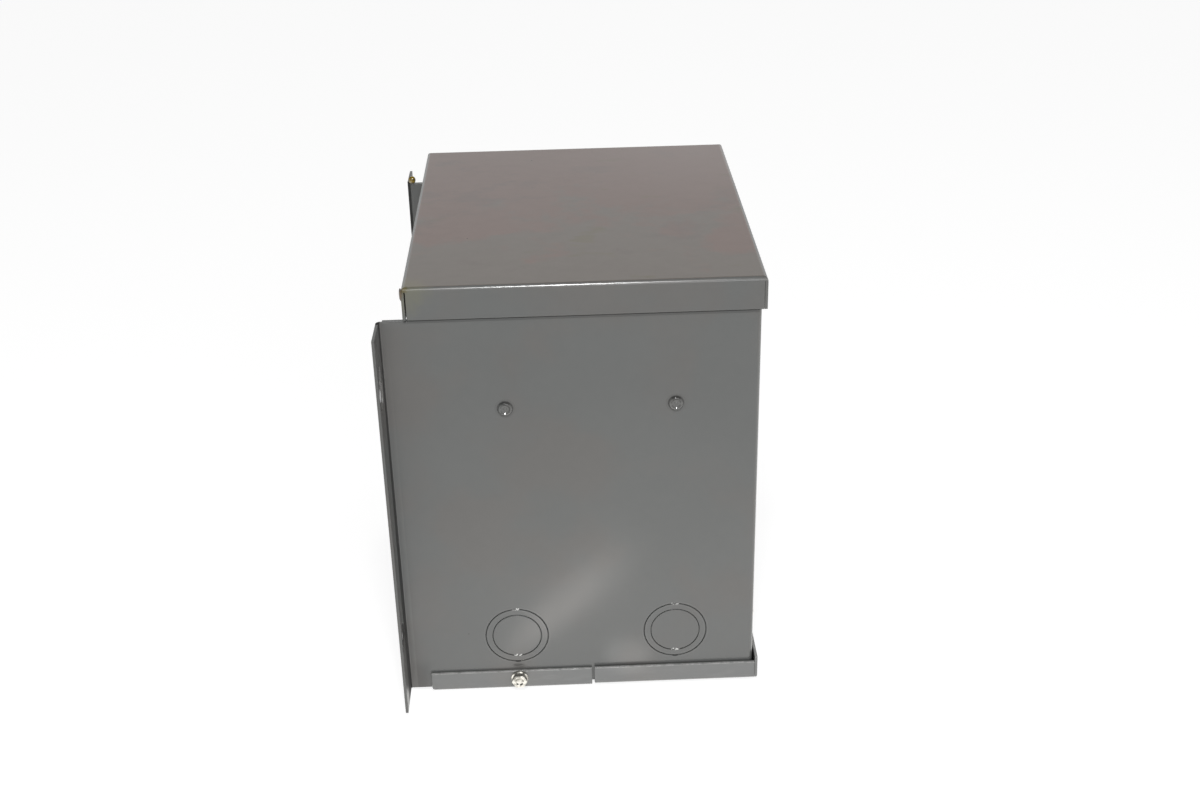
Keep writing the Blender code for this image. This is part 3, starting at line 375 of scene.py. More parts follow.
@dataclass(frozen=True)
class Enamel(Finish):
    """Grey semi-gloss enamel: orange peel, smudges, dust and painted sheen facing up, a few specks.
    """

    tone: Tone = Tone.PLAIN
    base: Colour = (0.116, 0.1195, 0.117)
    warm: Colour = (0.121, 0.118, 0.113)
    # dust, dust_patch and dust_worn colour a film on what faces up: partly dust, partly a painted
    # reflection of the room.
    dust: Colour = (0.160, 0.113, 0.098)
    dust_patch: Colour = (0.139, 0.122, 0.107)
    dust_worn: Colour = (0.120, 0.099, 0.091)
    olive: Colour = (0.125, 0.110, 0.065)
    scuff: Colour = (0.21, 0.21, 0.207)
    speck: Colour = (0.03, 0.03, 0.03)
    roughness: float = 0.22
    bend: float = 0.5 * MM

    def height(self, shader: Shader) -> Wire:
        """The orange peel: low rounded lumps about two millimetres across."""
        return shader.noise(2.1 * MM, 1.0, 0.4)

    def colour(self, shader: Shader) -> Wire:
        """The base colour with broad mottling, a film of dust and painted sheen, and specks.

        Args:
            shader: The shader.

        Returns:
            The colour.
        """
        broad = shader.noise(45 * MM, 3.0, 0.55)
        fine = shader.noise(5 * MM, 2.0, 0.6, shift=1.7)
        cloud = shader.noise(38 * MM, 2.0, 0.5, shift=9.0).ramp(0.4, 0.62)
        mottling = 0.92 + 0.11 * broad + 0.05 * fine
        paint = shader.shade(shader.mix(cloud, self.base, self.warm), mottling)
        if self.tone is Tone.DUST_AND_SHEEN:
            paint = self.dust_and_sheen(shader, paint, fine)
        if self.tone is Tone.HANDLED:
            patchy = shader.noise(6 * MM, 4.0, 0.7, (0.35, 0.35, 1.4), 2.2).ramp(0.5, 0.75)
            paint = shader.mix(patchy * 0.55, paint, self.scuff)
        specks = shader.spots(19 * MM, 0.024, 0.9)
        return shader.mix(specks * 0.75, paint, self.speck)

    def dust_and_sheen(self, shader: Shader, paint: Wire, fine: Wire) -> Wire:
        """A pinkish film of dust and painted reflection on the flat top, with greenish patches and
        olive smears.

        It covers only what faces up. The greenish patches grow towards the left.

        Args:
            shader: The shader.
            paint: The clean paint.
            fine: Fine mottling.

        Returns:
            The paint with the film on it.
        """
        facing = shader.node("ShaderNodeNewGeometry", {}, {}, "Normal")
        upward = shader.node("ShaderNodeSeparateXYZ", {}, {0: facing}, "Z").ramp(0.93, 0.995)
        rightward = shader.x * 4.0 + 0.08
        patch = (shader.noise(30 * MM, 3.0, 0.55, shift=5.0) - rightward).ramp(0.48, 0.64)
        film = shader.mix(patch, self.dust, self.dust_patch)
        streaks = shader.noise(8 * MM, 4.0, 0.65, (1.3, 0.8, 1.0), 6.0)
        film = shader.shade(film, 0.9 + 0.12 * streaks + 0.08 * fine)
        rubbed_and_sheen = shader.noise(24 * MM, 5.0, 0.6, (1.2, 0.9, 1.0), 15.0).ramp(0.53, 0.7)
        film = shader.mix(rubbed_and_sheen * 0.45, film, self.dust_worn)
        smear = shader.noise(26 * MM, 3.0, 0.6, (1.4, 0.7, 1.0), 12.0).ramp(0.62, 0.74)
        film = shader.mix(smear * 0.5, film, self.olive)
        return shader.mix(upward * 0.95, paint, film)

    def gloss(self, shader: Shader) -> Wire:
        """The roughness, higher where hands and dust have dulled the enamel."""
        return self.roughness + 0.12 * (shader.noise(32 * MM, 3.0, 0.6, shift=7.0) - 0.5)

    def coat(self, shader: Shader, paint: Wire, height: Value, matt: Value = 0.0) -> None:
        """Puts colour and height together, over edges and bends that paint has rounded.

        Args:
            shader: The shader.
            paint: The colour.
            height: The height field.
            matt: What is added to the roughness.
        """
        shader.dress(
            {"Specular IOR Level": 0.5}, colour=paint, roughness=self.gloss(shader) + matt,
            normal=shader.bump(height, 0.03 * MM, 0.5, shader.rounded(self.bend)),
        )

    def lay(self, shader: Shader) -> None:
        """Lays the plain enamel."""
        self.coat(shader, self.colour(shader), self.height(shader))


@dataclass(frozen=True)
class PanEnamel(Enamel):
    """A bottom pan's enamel, a lighter copy of the case's, with a painted highlight on the lips'
    tops.
    """

    lip_top: float = REAR_LIP_TOP
    front_lip_top: float = REAR_LIP_TOP
    front_fade: Span = (-78.2 * MM, -77.6 * MM)
    edge_fade: Span = (-0.5 * MM, -0.1 * MM)
    # The pans' base and warm tones are the case's made lighter, as painted light on the pans.
    base: Colour = (0.170, 0.174, 0.172)
    warm: Colour = (0.178, 0.176, 0.170)
    edge: Colour = (0.4, 0.4, 0.39)

    def lay(self, shader: Shader) -> None:
        """Paints an uneven highlight along the lips' tops.

        Args:
            shader: The shader.
        """
        # A painted highlight along the lips' cut tops, uneven in strength.
        side = (shader.z - self.lip_top).ramp(*self.edge_fade) * shader.y.ramp(*self.front_fade)
        front = (shader.z - self.front_lip_top).ramp(*self.edge_fade)
        patchy = shader.noise(3 * MM, 3.0, 0.7, shift=4.4).ramp(0.3, 0.7)
        pale = side.larger(front) * (0.25 + 0.6 * patchy)
        paint = shader.mix(pale, self.colour(shader), self.edge)
        self.coat(shader, paint, self.height(shader))


@dataclass(frozen=True)
class WrapEnamel(Enamel):
    """The case wrap's enamel.

    It has flecks at the knockouts' tabs, painted as glints and shade in the look of paint cracked
    through to the metal. It has painted shade in the knockouts' grooves, in the crease of each
    flange and on its face, round the rivets, under the cover's skirt and over the lips, a painted
    highlight beside each outer groove, and a painted reflection beside each crease, stronger low
    down.
    Places are in the part's frame. A tab has its height over the knockout's middle and half its
    width, and a lip has its top, its front end and its rear end.
    """

    knockout_middle: float = -4.8 * MM
    knockout_spread: float = 36.15 * MM
    knockout_height: float = 28.6 * MM
    outer_ring: float = 14.2 * MM
    inner_ring: float = 11.1 * MM
    groove: float = 0.75 * MM
    tabs: tuple[Span, Span] = ((14.3 * MM, 1.8 * MM), (-10.8 * MM, 2.0 * MM))
    tab_half_height: float = 0.62 * MM
    mark_place: float = 31.6 * MM
    mark_height: float = 12.1 * MM
    mark_half: Span = (2.3 * MM, 0.7 * MM)
    wall: float = 88.6 * MM
    # rub and sheen_top place a painted reflection: a lighter band beside each flange's crease,
    # stronger low down.
    rub: Band = (78.6 * MM, 80.8 * MM, 0.6 * MM)
    sheen_top: float = 0.2
    crease: float = 89.3 * MM
    crease_reach: float = 11.5 * MM
    flange_face: float = 81.55 * MM
    skirt_bottom: float = 187.6 * MM
    skirt_rear: float = 72.5 * MM
    leg_top: float = 186.5 * MM
    lips: tuple[Spot, Spot] = (
        (REAR_LIP_TOP, -2.35 * MM, 71.75 * MM), (FRONT_LIP_TOP, -79.0 * MM, -3.55 * MM),
    )
    rivet_places: Span = (31.45 * MM, -41.15 * MM)
    # bare_glint and crack_shade colour the tabs' flecks: painted glints and painted shade.
    bare_glint: Colour = (0.8, 0.8, 0.78)
    crack_shade: Colour = (0.04, 0.04, 0.04)
    slug_rise: float = 4.0
    tab_rise: float = 7.0
    mark_sink: float = 4.0

    def lay(self, shader: Shader) -> None:
        """Puts the wall's painted light and shade, the tabs' flecks and the knockouts' reliefs
        together.

        A knockout's slug bulges by its rise times one plus the squared share of its radius. Reliefs
        are in heights of the orange peel.

        Args:
            shader: The shader.
        """
        on_wall = abs(shader.x).ramp(self.wall - 0.1 * MM, self.wall)
        across = abs(shader.y - self.knockout_middle) - self.knockout_spread
        up = shader.z - self.knockout_height
        centre = (across * across + up * up) ** 0.5
        blisters = [
            oval(across, half, up - height, self.tab_half_height).ramp(1.3, 0.6)
            for height, half in self.tabs
        ]
        tab = blisters[0].larger(blisters[1]) * on_wall
        crumbs = shader.noise(0.75 * MM, 1.0, 0.6, shift=8.0)
        mark = oval(
            shader.y - self.mark_place, self.mark_half[0],
            shader.z - self.mark_height, self.mark_half[1],
        ).ramp(1.3, 0.5)
        # Painted shade in the grooves, the pressed mark, the creases, under the skirt, over the
        # lips and round the rivets.
        painted_shade = self.rings(across, up, centre).larger(mark * 0.4) * on_wall
        painted_shade = painted_shade.larger(self.corners(shader)).larger(self.round_rivets(shader) * on_wall)
        # A painted reflection: the wall lighter in a band beside each crease, more so towards the
        # bottom.
        rubbed_and_sheen = shader.y.band(*self.rub) * on_wall * (self.sheen_top - shader.z)
        rubbed_and_sheen = rubbed_and_sheen * (0.9 + 1.2 * shader.noise(9 * MM, 3.0, 0.6, shift=1.1))
        # A painted highlight: the wall a little lighter just outside each knockout's outer groove.
        rim = abs(abs(centre - self.outer_ring) - self.groove).ramp(0.4 * MM, 0.1 * MM) * on_wall
        painted_light_and_shade = (1.0 + rubbed_and_sheen.larger(rim * 0.1)) * (1.0 - painted_shade)
        paint = shader.shade(self.colour(shader), painted_light_and_shade)
        # Painted glints and painted shade at the tabs, laid as flecks of metal and of cracked
        # paint.
        paint = shader.mix(tab * crumbs.ramp(0.47, 0.58), paint, self.bare_glint)
        paint = shader.mix(tab * crumbs.ramp(0.42, 0.34) * 0.7, paint, self.crack_shade)
        slug = centre.ramp(self.inner_ring + 0.8 * MM, self.inner_ring - 0.8 * MM)
        bulge = self.slug_rise + (centre / self.inner_ring) ** 2.0 * self.slug_rise
        raised = self.height(shader) + slug * bulge * on_wall + self.tab_rise * tab * crumbs
        self.coat(shader, paint, raised - self.mark_sink * mark * on_wall, painted_shade * 0.7)

    def rings(self, across: Wire, up: Wire, centre: Wire) -> Wire:
        """The painted shade in the knockouts' grooves: the outer one at its sides, the inner one
        low down.

        Args:
            across: The distance from a knockout's middle along the wall.
            up: The height over its middle.
            centre: The distance from its middle.

        Returns:
            The painted shade, from 0 to 1.
        """
        sides = 0.24 + 0.26 * (abs(across) / self.outer_ring) + 0.08 * (up / self.outer_ring)
        outer = abs(centre - self.outer_ring).ramp(0.45 * MM, 0.15 * MM) * sides
        lower = 0.28 - 0.17 * (up / self.inner_ring)
        inner = abs(centre - self.inner_ring).ramp(0.42 * MM, 0.14 * MM) * lower
        # A painted shadow in a short arc just below each outer groove.
        under = up + self.outer_ring + 0.2 * MM
        notch = oval(across, 1.5 * MM, under, 0.5 * MM).ramp(1.2, 0.5)
        return outer.larger(inner).larger(notch * 0.7)

    def corners(self, shader: Shader) -> Wire:
        """The painted shade in the flanges' creases and faces, under the skirt and over the lips.

        Args:
            shader: The shader.

        Returns:
            The painted shade, from 0 to 1.
        """
        # Painted shade in each flange's crease, wider towards the bottom, and a little over the
        # whole flange face.
        beyond = abs(shader.x) - self.crease
        face = shader.y.ramp(self.flange_face - 0.7 * MM, self.flange_face - 0.2 * MM)
        ragged = shader.noise(6 * MM, 3.0, 0.6, shift=2.6)
        reach = self.crease_reach - shader.z * 0.05
        painted_shade = (beyond / reach).ramp(1.3, 0.5) * face * (0.72 + 0.22 * ragged)
        painted_shade = painted_shade.larger(face * 0.14)
        # A painted shadow on the wall under the cover's skirt.
        skirt = shader.z.ramp(self.skirt_bottom - 1.0 * MM, self.skirt_bottom - 0.35 * MM)
        skirt = skirt * shader.y.ramp(self.skirt_rear, self.skirt_rear - 1.5 * MM)
        painted_shade = painted_shade.larger(skirt * 0.7)
        # Painted shade on the wall above the height of the legs' tops.
        painted_shade = painted_shade.larger(shader.z.ramp(self.leg_top, self.leg_top + 0.2 * MM) * 0.8)
        # A painted shadow just over each pan's lip.
        for top, front, rear in self.lips:
            over = shader.z.ramp(top + 0.9 * MM, top + 0.2 * MM)
            painted_shade = painted_shade.larger(shader.y.band(front, rear, 0.1 * MM) * over * 0.22)
        return painted_shade

    def round_rivets(self, shader: Shader) -> Wire:
        """The painted shade round the rivets' heads.

        Args:
            shader: The shader.

        Returns:
            The painted shade, from 0 to 1.
        """
        rings = []
        up = shader.z - RIVET_HEIGHT
        for place in self.rivet_places:
            away = oval(shader.y - place, RIVET_HEAD, up, RIVET_HEAD)
            # Painted shade: a soft halo and a darker ring just round each head.
            rings.append(away.ramp(2.1, 1.0) * 0.18 + away.ramp(1.25, 0.95) * 0.35)
        return rings[0].larger(rings[1])


@dataclass(frozen=True)
class RivetEnamel(Enamel):
    """The rivets' enamel, with painted shade on the upper shoulder of each head."""

    shoulder: Span = (1.5 * MM, 2.8 * MM)
    roughness: float = 0.16
    bend: float = 0.05 * MM

    def lay(self, shader: Shader) -> None:
        """Paints shade on each head's upper shoulder.

        Args:
            shader: The shader.
        """
        # Painted shade: each head darker high on its shoulder.
        upper_shade = (shader.z - RIVET_HEIGHT).ramp(*self.shoulder)
        paint = shader.shade(self.colour(shader), 1.0 - 0.6 * upper_shade)
        self.coat(shader, paint, self.height(shader))


@dataclass(frozen=True)
class CoverEnamel(Enamel):
    """The cover's enamel, stained olive where resin ran out, with painted shade in its rear seams.
    """

    corner: Spot = (-90.7 * MM, 71.35 * MM, 201.8 * MM)
    stain: Colour = (0.105, 0.085, 0.028)
    stain_fade: Span = (4.2 * MM, 1.2 * MM)
    rub: Colour = (0.18, 0.172, 0.085)
    rub_fade: Span = (15 * MM, 5 * MM)
    paler_corner: Spot = (82 * MM, -66 * MM, 201.8 * MM)
    paler_fade: Span = (95 * MM, 0.0)
    pale: Colour = (0.215, 0.165, 0.152)
    seam: Band = (69.68 * MM, 70.2 * MM, 0.02 * MM)
    seam_side: Span = (88.0 * MM, 88.4 * MM)
    seam_top: Span = (200.2 * MM, 199.8 * MM)

    def lay(self, shader: Shader) -> None:
        """Puts the paler corner, the resin's stain and the painted shade in the seams over the
        enamel.

        Args:
            shader: The shader.
        """
        ragged = (shader.noise(4 * MM, 3.0, 0.6, shift=4.0) - 0.5) * (9 * MM)
        away = shader.distance(self.corner) + ragged
        # The enamel paler towards the back right corner.
        pale = shader.distance(self.paler_corner).ramp(*self.paler_fade) * 0.5
        paint = shader.mix(pale, self.colour(shader), self.pale)
        paint = shader.mix(away.ramp(*self.rub_fade) * 0.28, paint, self.rub)
        paint = shader.mix(away.ramp(*self.stain_fade) * 0.85, paint, self.stain)
        # Painted shade in the rear seams, fading out near the top.
        seam_shade = shader.y.band(*self.seam) * abs(shader.x).ramp(*self.seam_side)
        paint = shader.shade(paint, 1.0 - 0.85 * seam_shade * shader.z.ramp(*self.seam_top))
        self.coat(shader, paint, self.height(shader))


@dataclass(frozen=True)
class Metal(Finish):
    """Bare metal with fine rolling or plating marks and a dull film in patches."""

    bright: Colour
    dull: Colour
    roughness: float
    grain: Spot = WHITE

    def lay(self, shader: Shader) -> None:
        """Lays a dull film in patches over fine marks.

        Args:
            shader: The shader.
        """
        film = shader.noise(2.4 * MM, 4.0, 0.65, shift=2.0).ramp(0.4, 0.68)
        marks = shader.noise(0.5 * MM, 2.0, 0.6, self.grain)
        colour = shader.mix(film, self.bright, self.dull)
        rough = self.roughness + 0.16 * film + 0.1 * (marks - 0.5)
        shader.dress(
            {}, colour=colour, roughness=rough, metallic=1.0 - 0.25 * film,
            normal=shader.bump(marks, 0.02 * MM, 0.5),
        )


@dataclass(frozen=True)
class Resin(Finish):
    """Set resin: glossy amber, darker where it is thick, with a trace of bubbles."""

    thin: Colour
    thick: Colour
    bubble: Colour = (0.8, 0.66, 0.3)
    roughness: float = 0.08

    def lay(self, shader: Shader) -> None:
        """Mixes two depths of amber, with bubbles.

        Args:
            shader: The shader.
        """
        depth = shader.noise(1.1 * MM, 2.0, 0.6, shift=8.0).ramp(0.35, 0.65)
        bubbles = shader.spots(0.7 * MM, 0.16, 1.3)
        colour = shader.mix(depth, self.thin, self.thick)
        colour = shader.mix(bubbles * 0.5, colour, self.bubble)
        normal = shader.bump(shader.noise(0.8 * MM, 2.0), 0.02 * MM, 0.4)
        constants = {"Coat Weight": 0.8, "Coat Roughness": 0.04, "IOR": 1.55}
        rough = self.roughness + 0.1 * depth
        shader.dress(constants, colour=colour, roughness=rough, normal=normal)


@dataclass(frozen=True)
class Stack(Finish):
    """Edges of stacked laminations: fine lines along one axis, with a blue-grey scale."""

    pitch: float = 0.5 * MM
    light: Colour = (0.21, 0.21, 0.225)
    dark: Colour = (0.06, 0.058, 0.06)
    rust: Colour = (0.2, 0.09, 0.035)

    def lay(self, shader: Shader) -> None:
        """Draws the laminations' edges with a sine, and lets rust in between.

        Args:
            shader: The shader.
        """
        edge = shader.y.wave(self.pitch).ramp(-0.2, 0.9)
        rust = shader.noise(9 * MM, 4.0, 0.7, shift=6.0).ramp(0.6, 0.75)
        colour = shader.mix(rust * 0.4, shader.mix(edge, self.dark, self.light), self.rust)
        shader.dress(
            {}, colour=colour, roughness=0.55 - 0.1 * edge, metallic=0.8 - 0.7 * rust,
            normal=shader.bump(edge, 0.06 * MM, 0.6),
        )


@dataclass(frozen=True)
class Winding(Finish):
    """Enamelled copper wire laid turn beside turn, seen as fine ridges up the coil's height."""

    pitch: float = 1.1 * MM
    light: Colour = (0.48, 0.17, 0.05)
    dark: Colour = (0.12, 0.03, 0.012)

    def lay(self, shader: Shader) -> None:
        """Draws the turns with a sine, with painted shade between them, under uneven varnish.

        Args:
            shader: The shader.
        """
        ridge = shader.z.wave(self.pitch).ramp(-1.0, 0.6)
        varnish = shader.noise(12 * MM, 3.0, 0.6)
        # Painted shade: the dark colour lies in the valleys between the turns.
        colour = shader.shade(shader.mix(ridge, self.dark, self.light), 0.8 + 0.4 * varnish)
        shader.dress(
            {"Coat Weight": 0.5}, colour=colour, roughness=0.3 + 0.15 * varnish,
            metallic=0.55 * ridge, normal=shader.bump(ridge, 0.3 * MM, 0.8),
        )


@dataclass(frozen=True)
class Fibre(Finish):
    """Paper, board or tape: crossed fibres in two tones."""

    light: Colour
    dark: Colour
    roughness: float = 0.8

    def lay(self, shader: Shader) -> None:
        """Crosses two stretched noises.

        Args:
            shader: The shader.
        """
        along = shader.noise(1.2 * MM, 3.0, 0.6, (0.2, 1.0, 1.0))
        cross = shader.noise(1.2 * MM, 3.0, 0.6, (1.0, 0.2, 0.2), 4.0)
        fibres = along * 0.5 + cross * 0.5
        colour = shader.mix(fibres.ramp(0.35, 0.65), self.dark, self.light)
        shader.dress(
            {}, colour=colour, roughness=self.roughness - 0.15 * fibres,
            normal=shader.bump(fibres, 0.05 * MM, 0.6),
        )


@dataclass(frozen=True)
class Moulded(Finish):
    """A cast or moulded surface: two close tones in clouds, with a fine pebble."""

    light: Colour
    dark: Colour
    roughness: float = 0.5
    pebble: float = 0.9 * MM

    def lay(self, shader: Shader) -> None:
        """Clouds two tones over a pebbled surface.

        Args:
            shader: The shader.
        """
        cloud = shader.noise(14 * MM, 4.0, 0.6)
        grain = shader.noise(self.pebble, 2.0, 0.6, shift=3.0)
        colour = shader.mix(cloud.ramp(0.35, 0.65), self.dark, self.light)
        shader.dress(
            {}, colour=colour, roughness=self.roughness + 0.2 * (grain - 0.5),
            normal=shader.bump(grain, 0.05 * MM, 0.5),
        )


# Surfaces


def grid_mesh(name: str, points: np.ndarray) -> Piece:
    """A mesh over a grid of points, with quads between neighbours and both poles closed by fans.

    The grid's rows run along the profile from the first pole to the last, and its columns run round
    the axis and join up. A pole's row holds one point repeated, so doubles are merged afterwards.

    Args:
        name: The piece's name.
        points: An array of rows, columns and three coordinates, in metres.

    Returns:
        The new object, at the origin.
    """
    rows, columns = points.shape[:2]
    index = np.arange(rows * columns).reshape(rows, columns)
    further = np.roll(index, -1, axis=1)
    quads = np.stack([index[:-1], further[:-1], further[1:], index[1:]], axis=-1)
    mesh = bpy.data.meshes.new(name)
    mesh.from_pydata(points.reshape(-1, 3).tolist(), [], quads.reshape(-1, 4).tolist())
    made = bpy.data.objects.new(name, mesh)
    bpy.context.scene.collection.objects.link(made)
    return made


def close_and_smooth(piece: Piece, sharp: float = 40.0) -> Piece:
    """Merges doubles, turns the faces outwards and shades the piece smooth.

    Args:
        piece: The piece.
        sharp: The angle in degrees over which an edge stays sharp.

    Returns:
        The same piece.
    """
    shape = bmesh.new()
    shape.from_mesh(piece.data)
    bmesh.ops.remove_doubles(shape, verts=shape.verts, dist=MERGE)
    bmesh.ops.recalc_face_normals(shape, faces=shape.faces)
    shape.to_mesh(piece.data)
    shape.free()
    piece.data.shade_smooth()
    piece.data.set_sharp_from_angle(angle=math.radians(sharp))
    return piece


def smooth_profile(corners: Sequence[Span], per_corner: int, share: float = 0.35) -> np.ndarray:
    """A profile whose corners are rounded.

    Each inner corner becomes a quadratic curve from a point before it to a point after it: the sum
    of (1-t)^2 of the first, 2t(1-t) of the corner and t^2 of the last, with t from 0 to 1.

    Args:
        corners: Radius and height of each corner.
        per_corner: How many points each rounded corner gets.
        share: How far towards its neighbours each rounding starts.

    Returns:
        An array of radius and height.
    """
    knots = np.array(corners, float)
    inner = knots[1:-1, None]
    before = inner + (knots[:-2, None] - inner) * share
    after = inner + (knots[2:, None] - inner) * share
    t = np.linspace(0.0, 1.0, per_corner)[None, :, None]
    curves = (1 - t) ** 2 * before + 2 * t * (1 - t) * inner + t ** 2 * after
    return np.vstack([knots[:1], curves.reshape(-1, 2), knots[-1:]])


def turned(reach: np.ndarray, height: np.ndarray, angle: np.ndarray) -> np.ndarray:
    """Points round the local Z axis: (r cos a, r sin a, h).

    Args:
        reach: The radius r of each row, or of each row and column.
        height: The height h of each row.
        angle: The angle a of each column.

    Returns:
        An array of rows, columns and three coordinates.
    """
    return np.stack([reach * np.cos(angle), reach * np.sin(angle), height + 0 * angle], axis=-1)


def angles(columns: int) -> np.ndarray:
    """Even steps once round, from 0."""
    return np.linspace(0.0, 2 * math.pi, columns, endpoint=False)


def stand(points: np.ndarray, seat: Vector, outward: Vector) -> np.ndarray:
    """Turns points from local +Z to an outward direction and moves them to a seat.

    Args:
        points: An array whose last axis holds three coordinates.
        seat: Where the local origin goes.
        outward: Where local +Z goes.

    Returns:
        The placed points.
    """
    turn = np.array(Vector((0, 0, 1)).rotation_difference(outward).to_matrix())
    return points @ turn.T + np.array(seat)


def paint_on(piece: Piece, material: Material) -> None:
    """Gives a piece one material."""
    piece.data.materials.clear()
    piece.data.materials.append(material)


def put_in_place(piece: Piece, node: str, material: Material) -> None:
    """Dresses a new piece, makes it stand for a CAD node and ride on the case.

    Args:
        piece: The new piece.
        node: The CAD node that it stands for.
        material: What it wears.
    """
    paint_on(piece, material)
    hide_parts(node)
    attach(piece, "root")
    LOG.info("%s stands for %s", piece.name, node)


# Sub-assemblies


@dataclass
class SheetMetal:
    """The five enamelled sheets. Their solids are right as they are, so they get only enamel."""

    wrap: WrapEnamel = WrapEnamel("case_enamel", Tone.PLAIN)
    cover: CoverEnamel = CoverEnamel("cover_enamel", Tone.DUST_AND_SHEEN)
    rear_pan: PanEnamel = PanEnamel("rear_pan_enamel", Tone.HANDLED)
    front_pan: PanEnamel = PanEnamel(
        "front_pan_enamel", Tone.HANDLED, lip_top=FRONT_LIP_TOP, front_lip_top=12.95 * MM,
    )
    panel: Enamel = Enamel("panel_enamel", Tone.PLAIN)

    def build(self) -> None:
        """Dresses each sheet."""
        finishes = {
            "case_wrap": self.wrap, "top_cover": self.cover, "rear_bottom_pan": self.rear_pan,
            "front_bottom_pan": self.front_pan, "back_panel": self.panel,
        }
        for node, finish in finishes.items():
            paint_on(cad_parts[node], finish.material())
            LOG.info("%s wears %s", node, finish.name)


@dataclass
class Rivets:
    """Blind rivets, painted with the case: a head dished round the broken end of its mandrel."""

    head: float = RIVET_HEAD
    crest: float = 2.4 * MM
    crown: float = 1.2 * MM
    dish: float = 0.65 * MM
    shank: float = 1.55 * MM
    bulb: float = 2.4 * MM
    mandrel: float = 0.8 * MM
    columns: int = 64
    per_corner: int = 6
    finish: RivetEnamel = RivetEnamel("rivet_enamel")

    def profile(self, length: float) -> np.ndarray:
        """The half section from the mandrel's broken end to the bulb's end.

        Args:
            length: How far the rivet reaches in from under its head.

        Returns:
            An array of radius and height.
        """
        floor = self.crown - self.dish
        return smooth_profile([
            (0.0, floor + 0.22 * MM), (0.75 * self.mandrel, floor + 0.2 * MM),
            (self.mandrel, floor - 0.04 * MM), (1.55 * MM, floor), (1.68 * MM, floor + 0.08 * MM),
            (2.15 * MM, floor + 0.49 * MM), (2.28 * MM, self.crown - 0.04 * MM),
            (self.crest, self.crown), (self.crest + 0.42 * MM, 0.8 * self.crown),
            (self.head - 0.04 * MM, 0.3 * self.crown), (self.head, 0.0), (self.shank, 0.0),
            (self.shank, -0.44 * length), (self.bulb, -0.56 * length),
            (self.bulb, -0.88 * length), (0.5 * self.shank, -length), (0.0, -length),
        ], self.per_corner)

    def build(self) -> None:
        """Makes a turned surface in place of each rivet."""
        material = self.finish.material()
        for node in sorted(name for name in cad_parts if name.startswith("rivet_")):
            low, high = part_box(node)
            side = 1.0 if high.x > 0 else -1.0
            out = max(abs(low.x), abs(high.x))
            middle = (low + high) / 2
            profile = self.profile(high.x - low.x - self.crown)
            points = turned(profile[:, :1], profile[:, 1:], angles(self.columns))
            seat = Vector((side * (out - self.crown), middle.y, middle.z))
            piece = grid_mesh(node + "_turned", stand(points, seat, Vector((side, 0, 0))))
            put_in_place(close_and_smooth(piece), node, material)


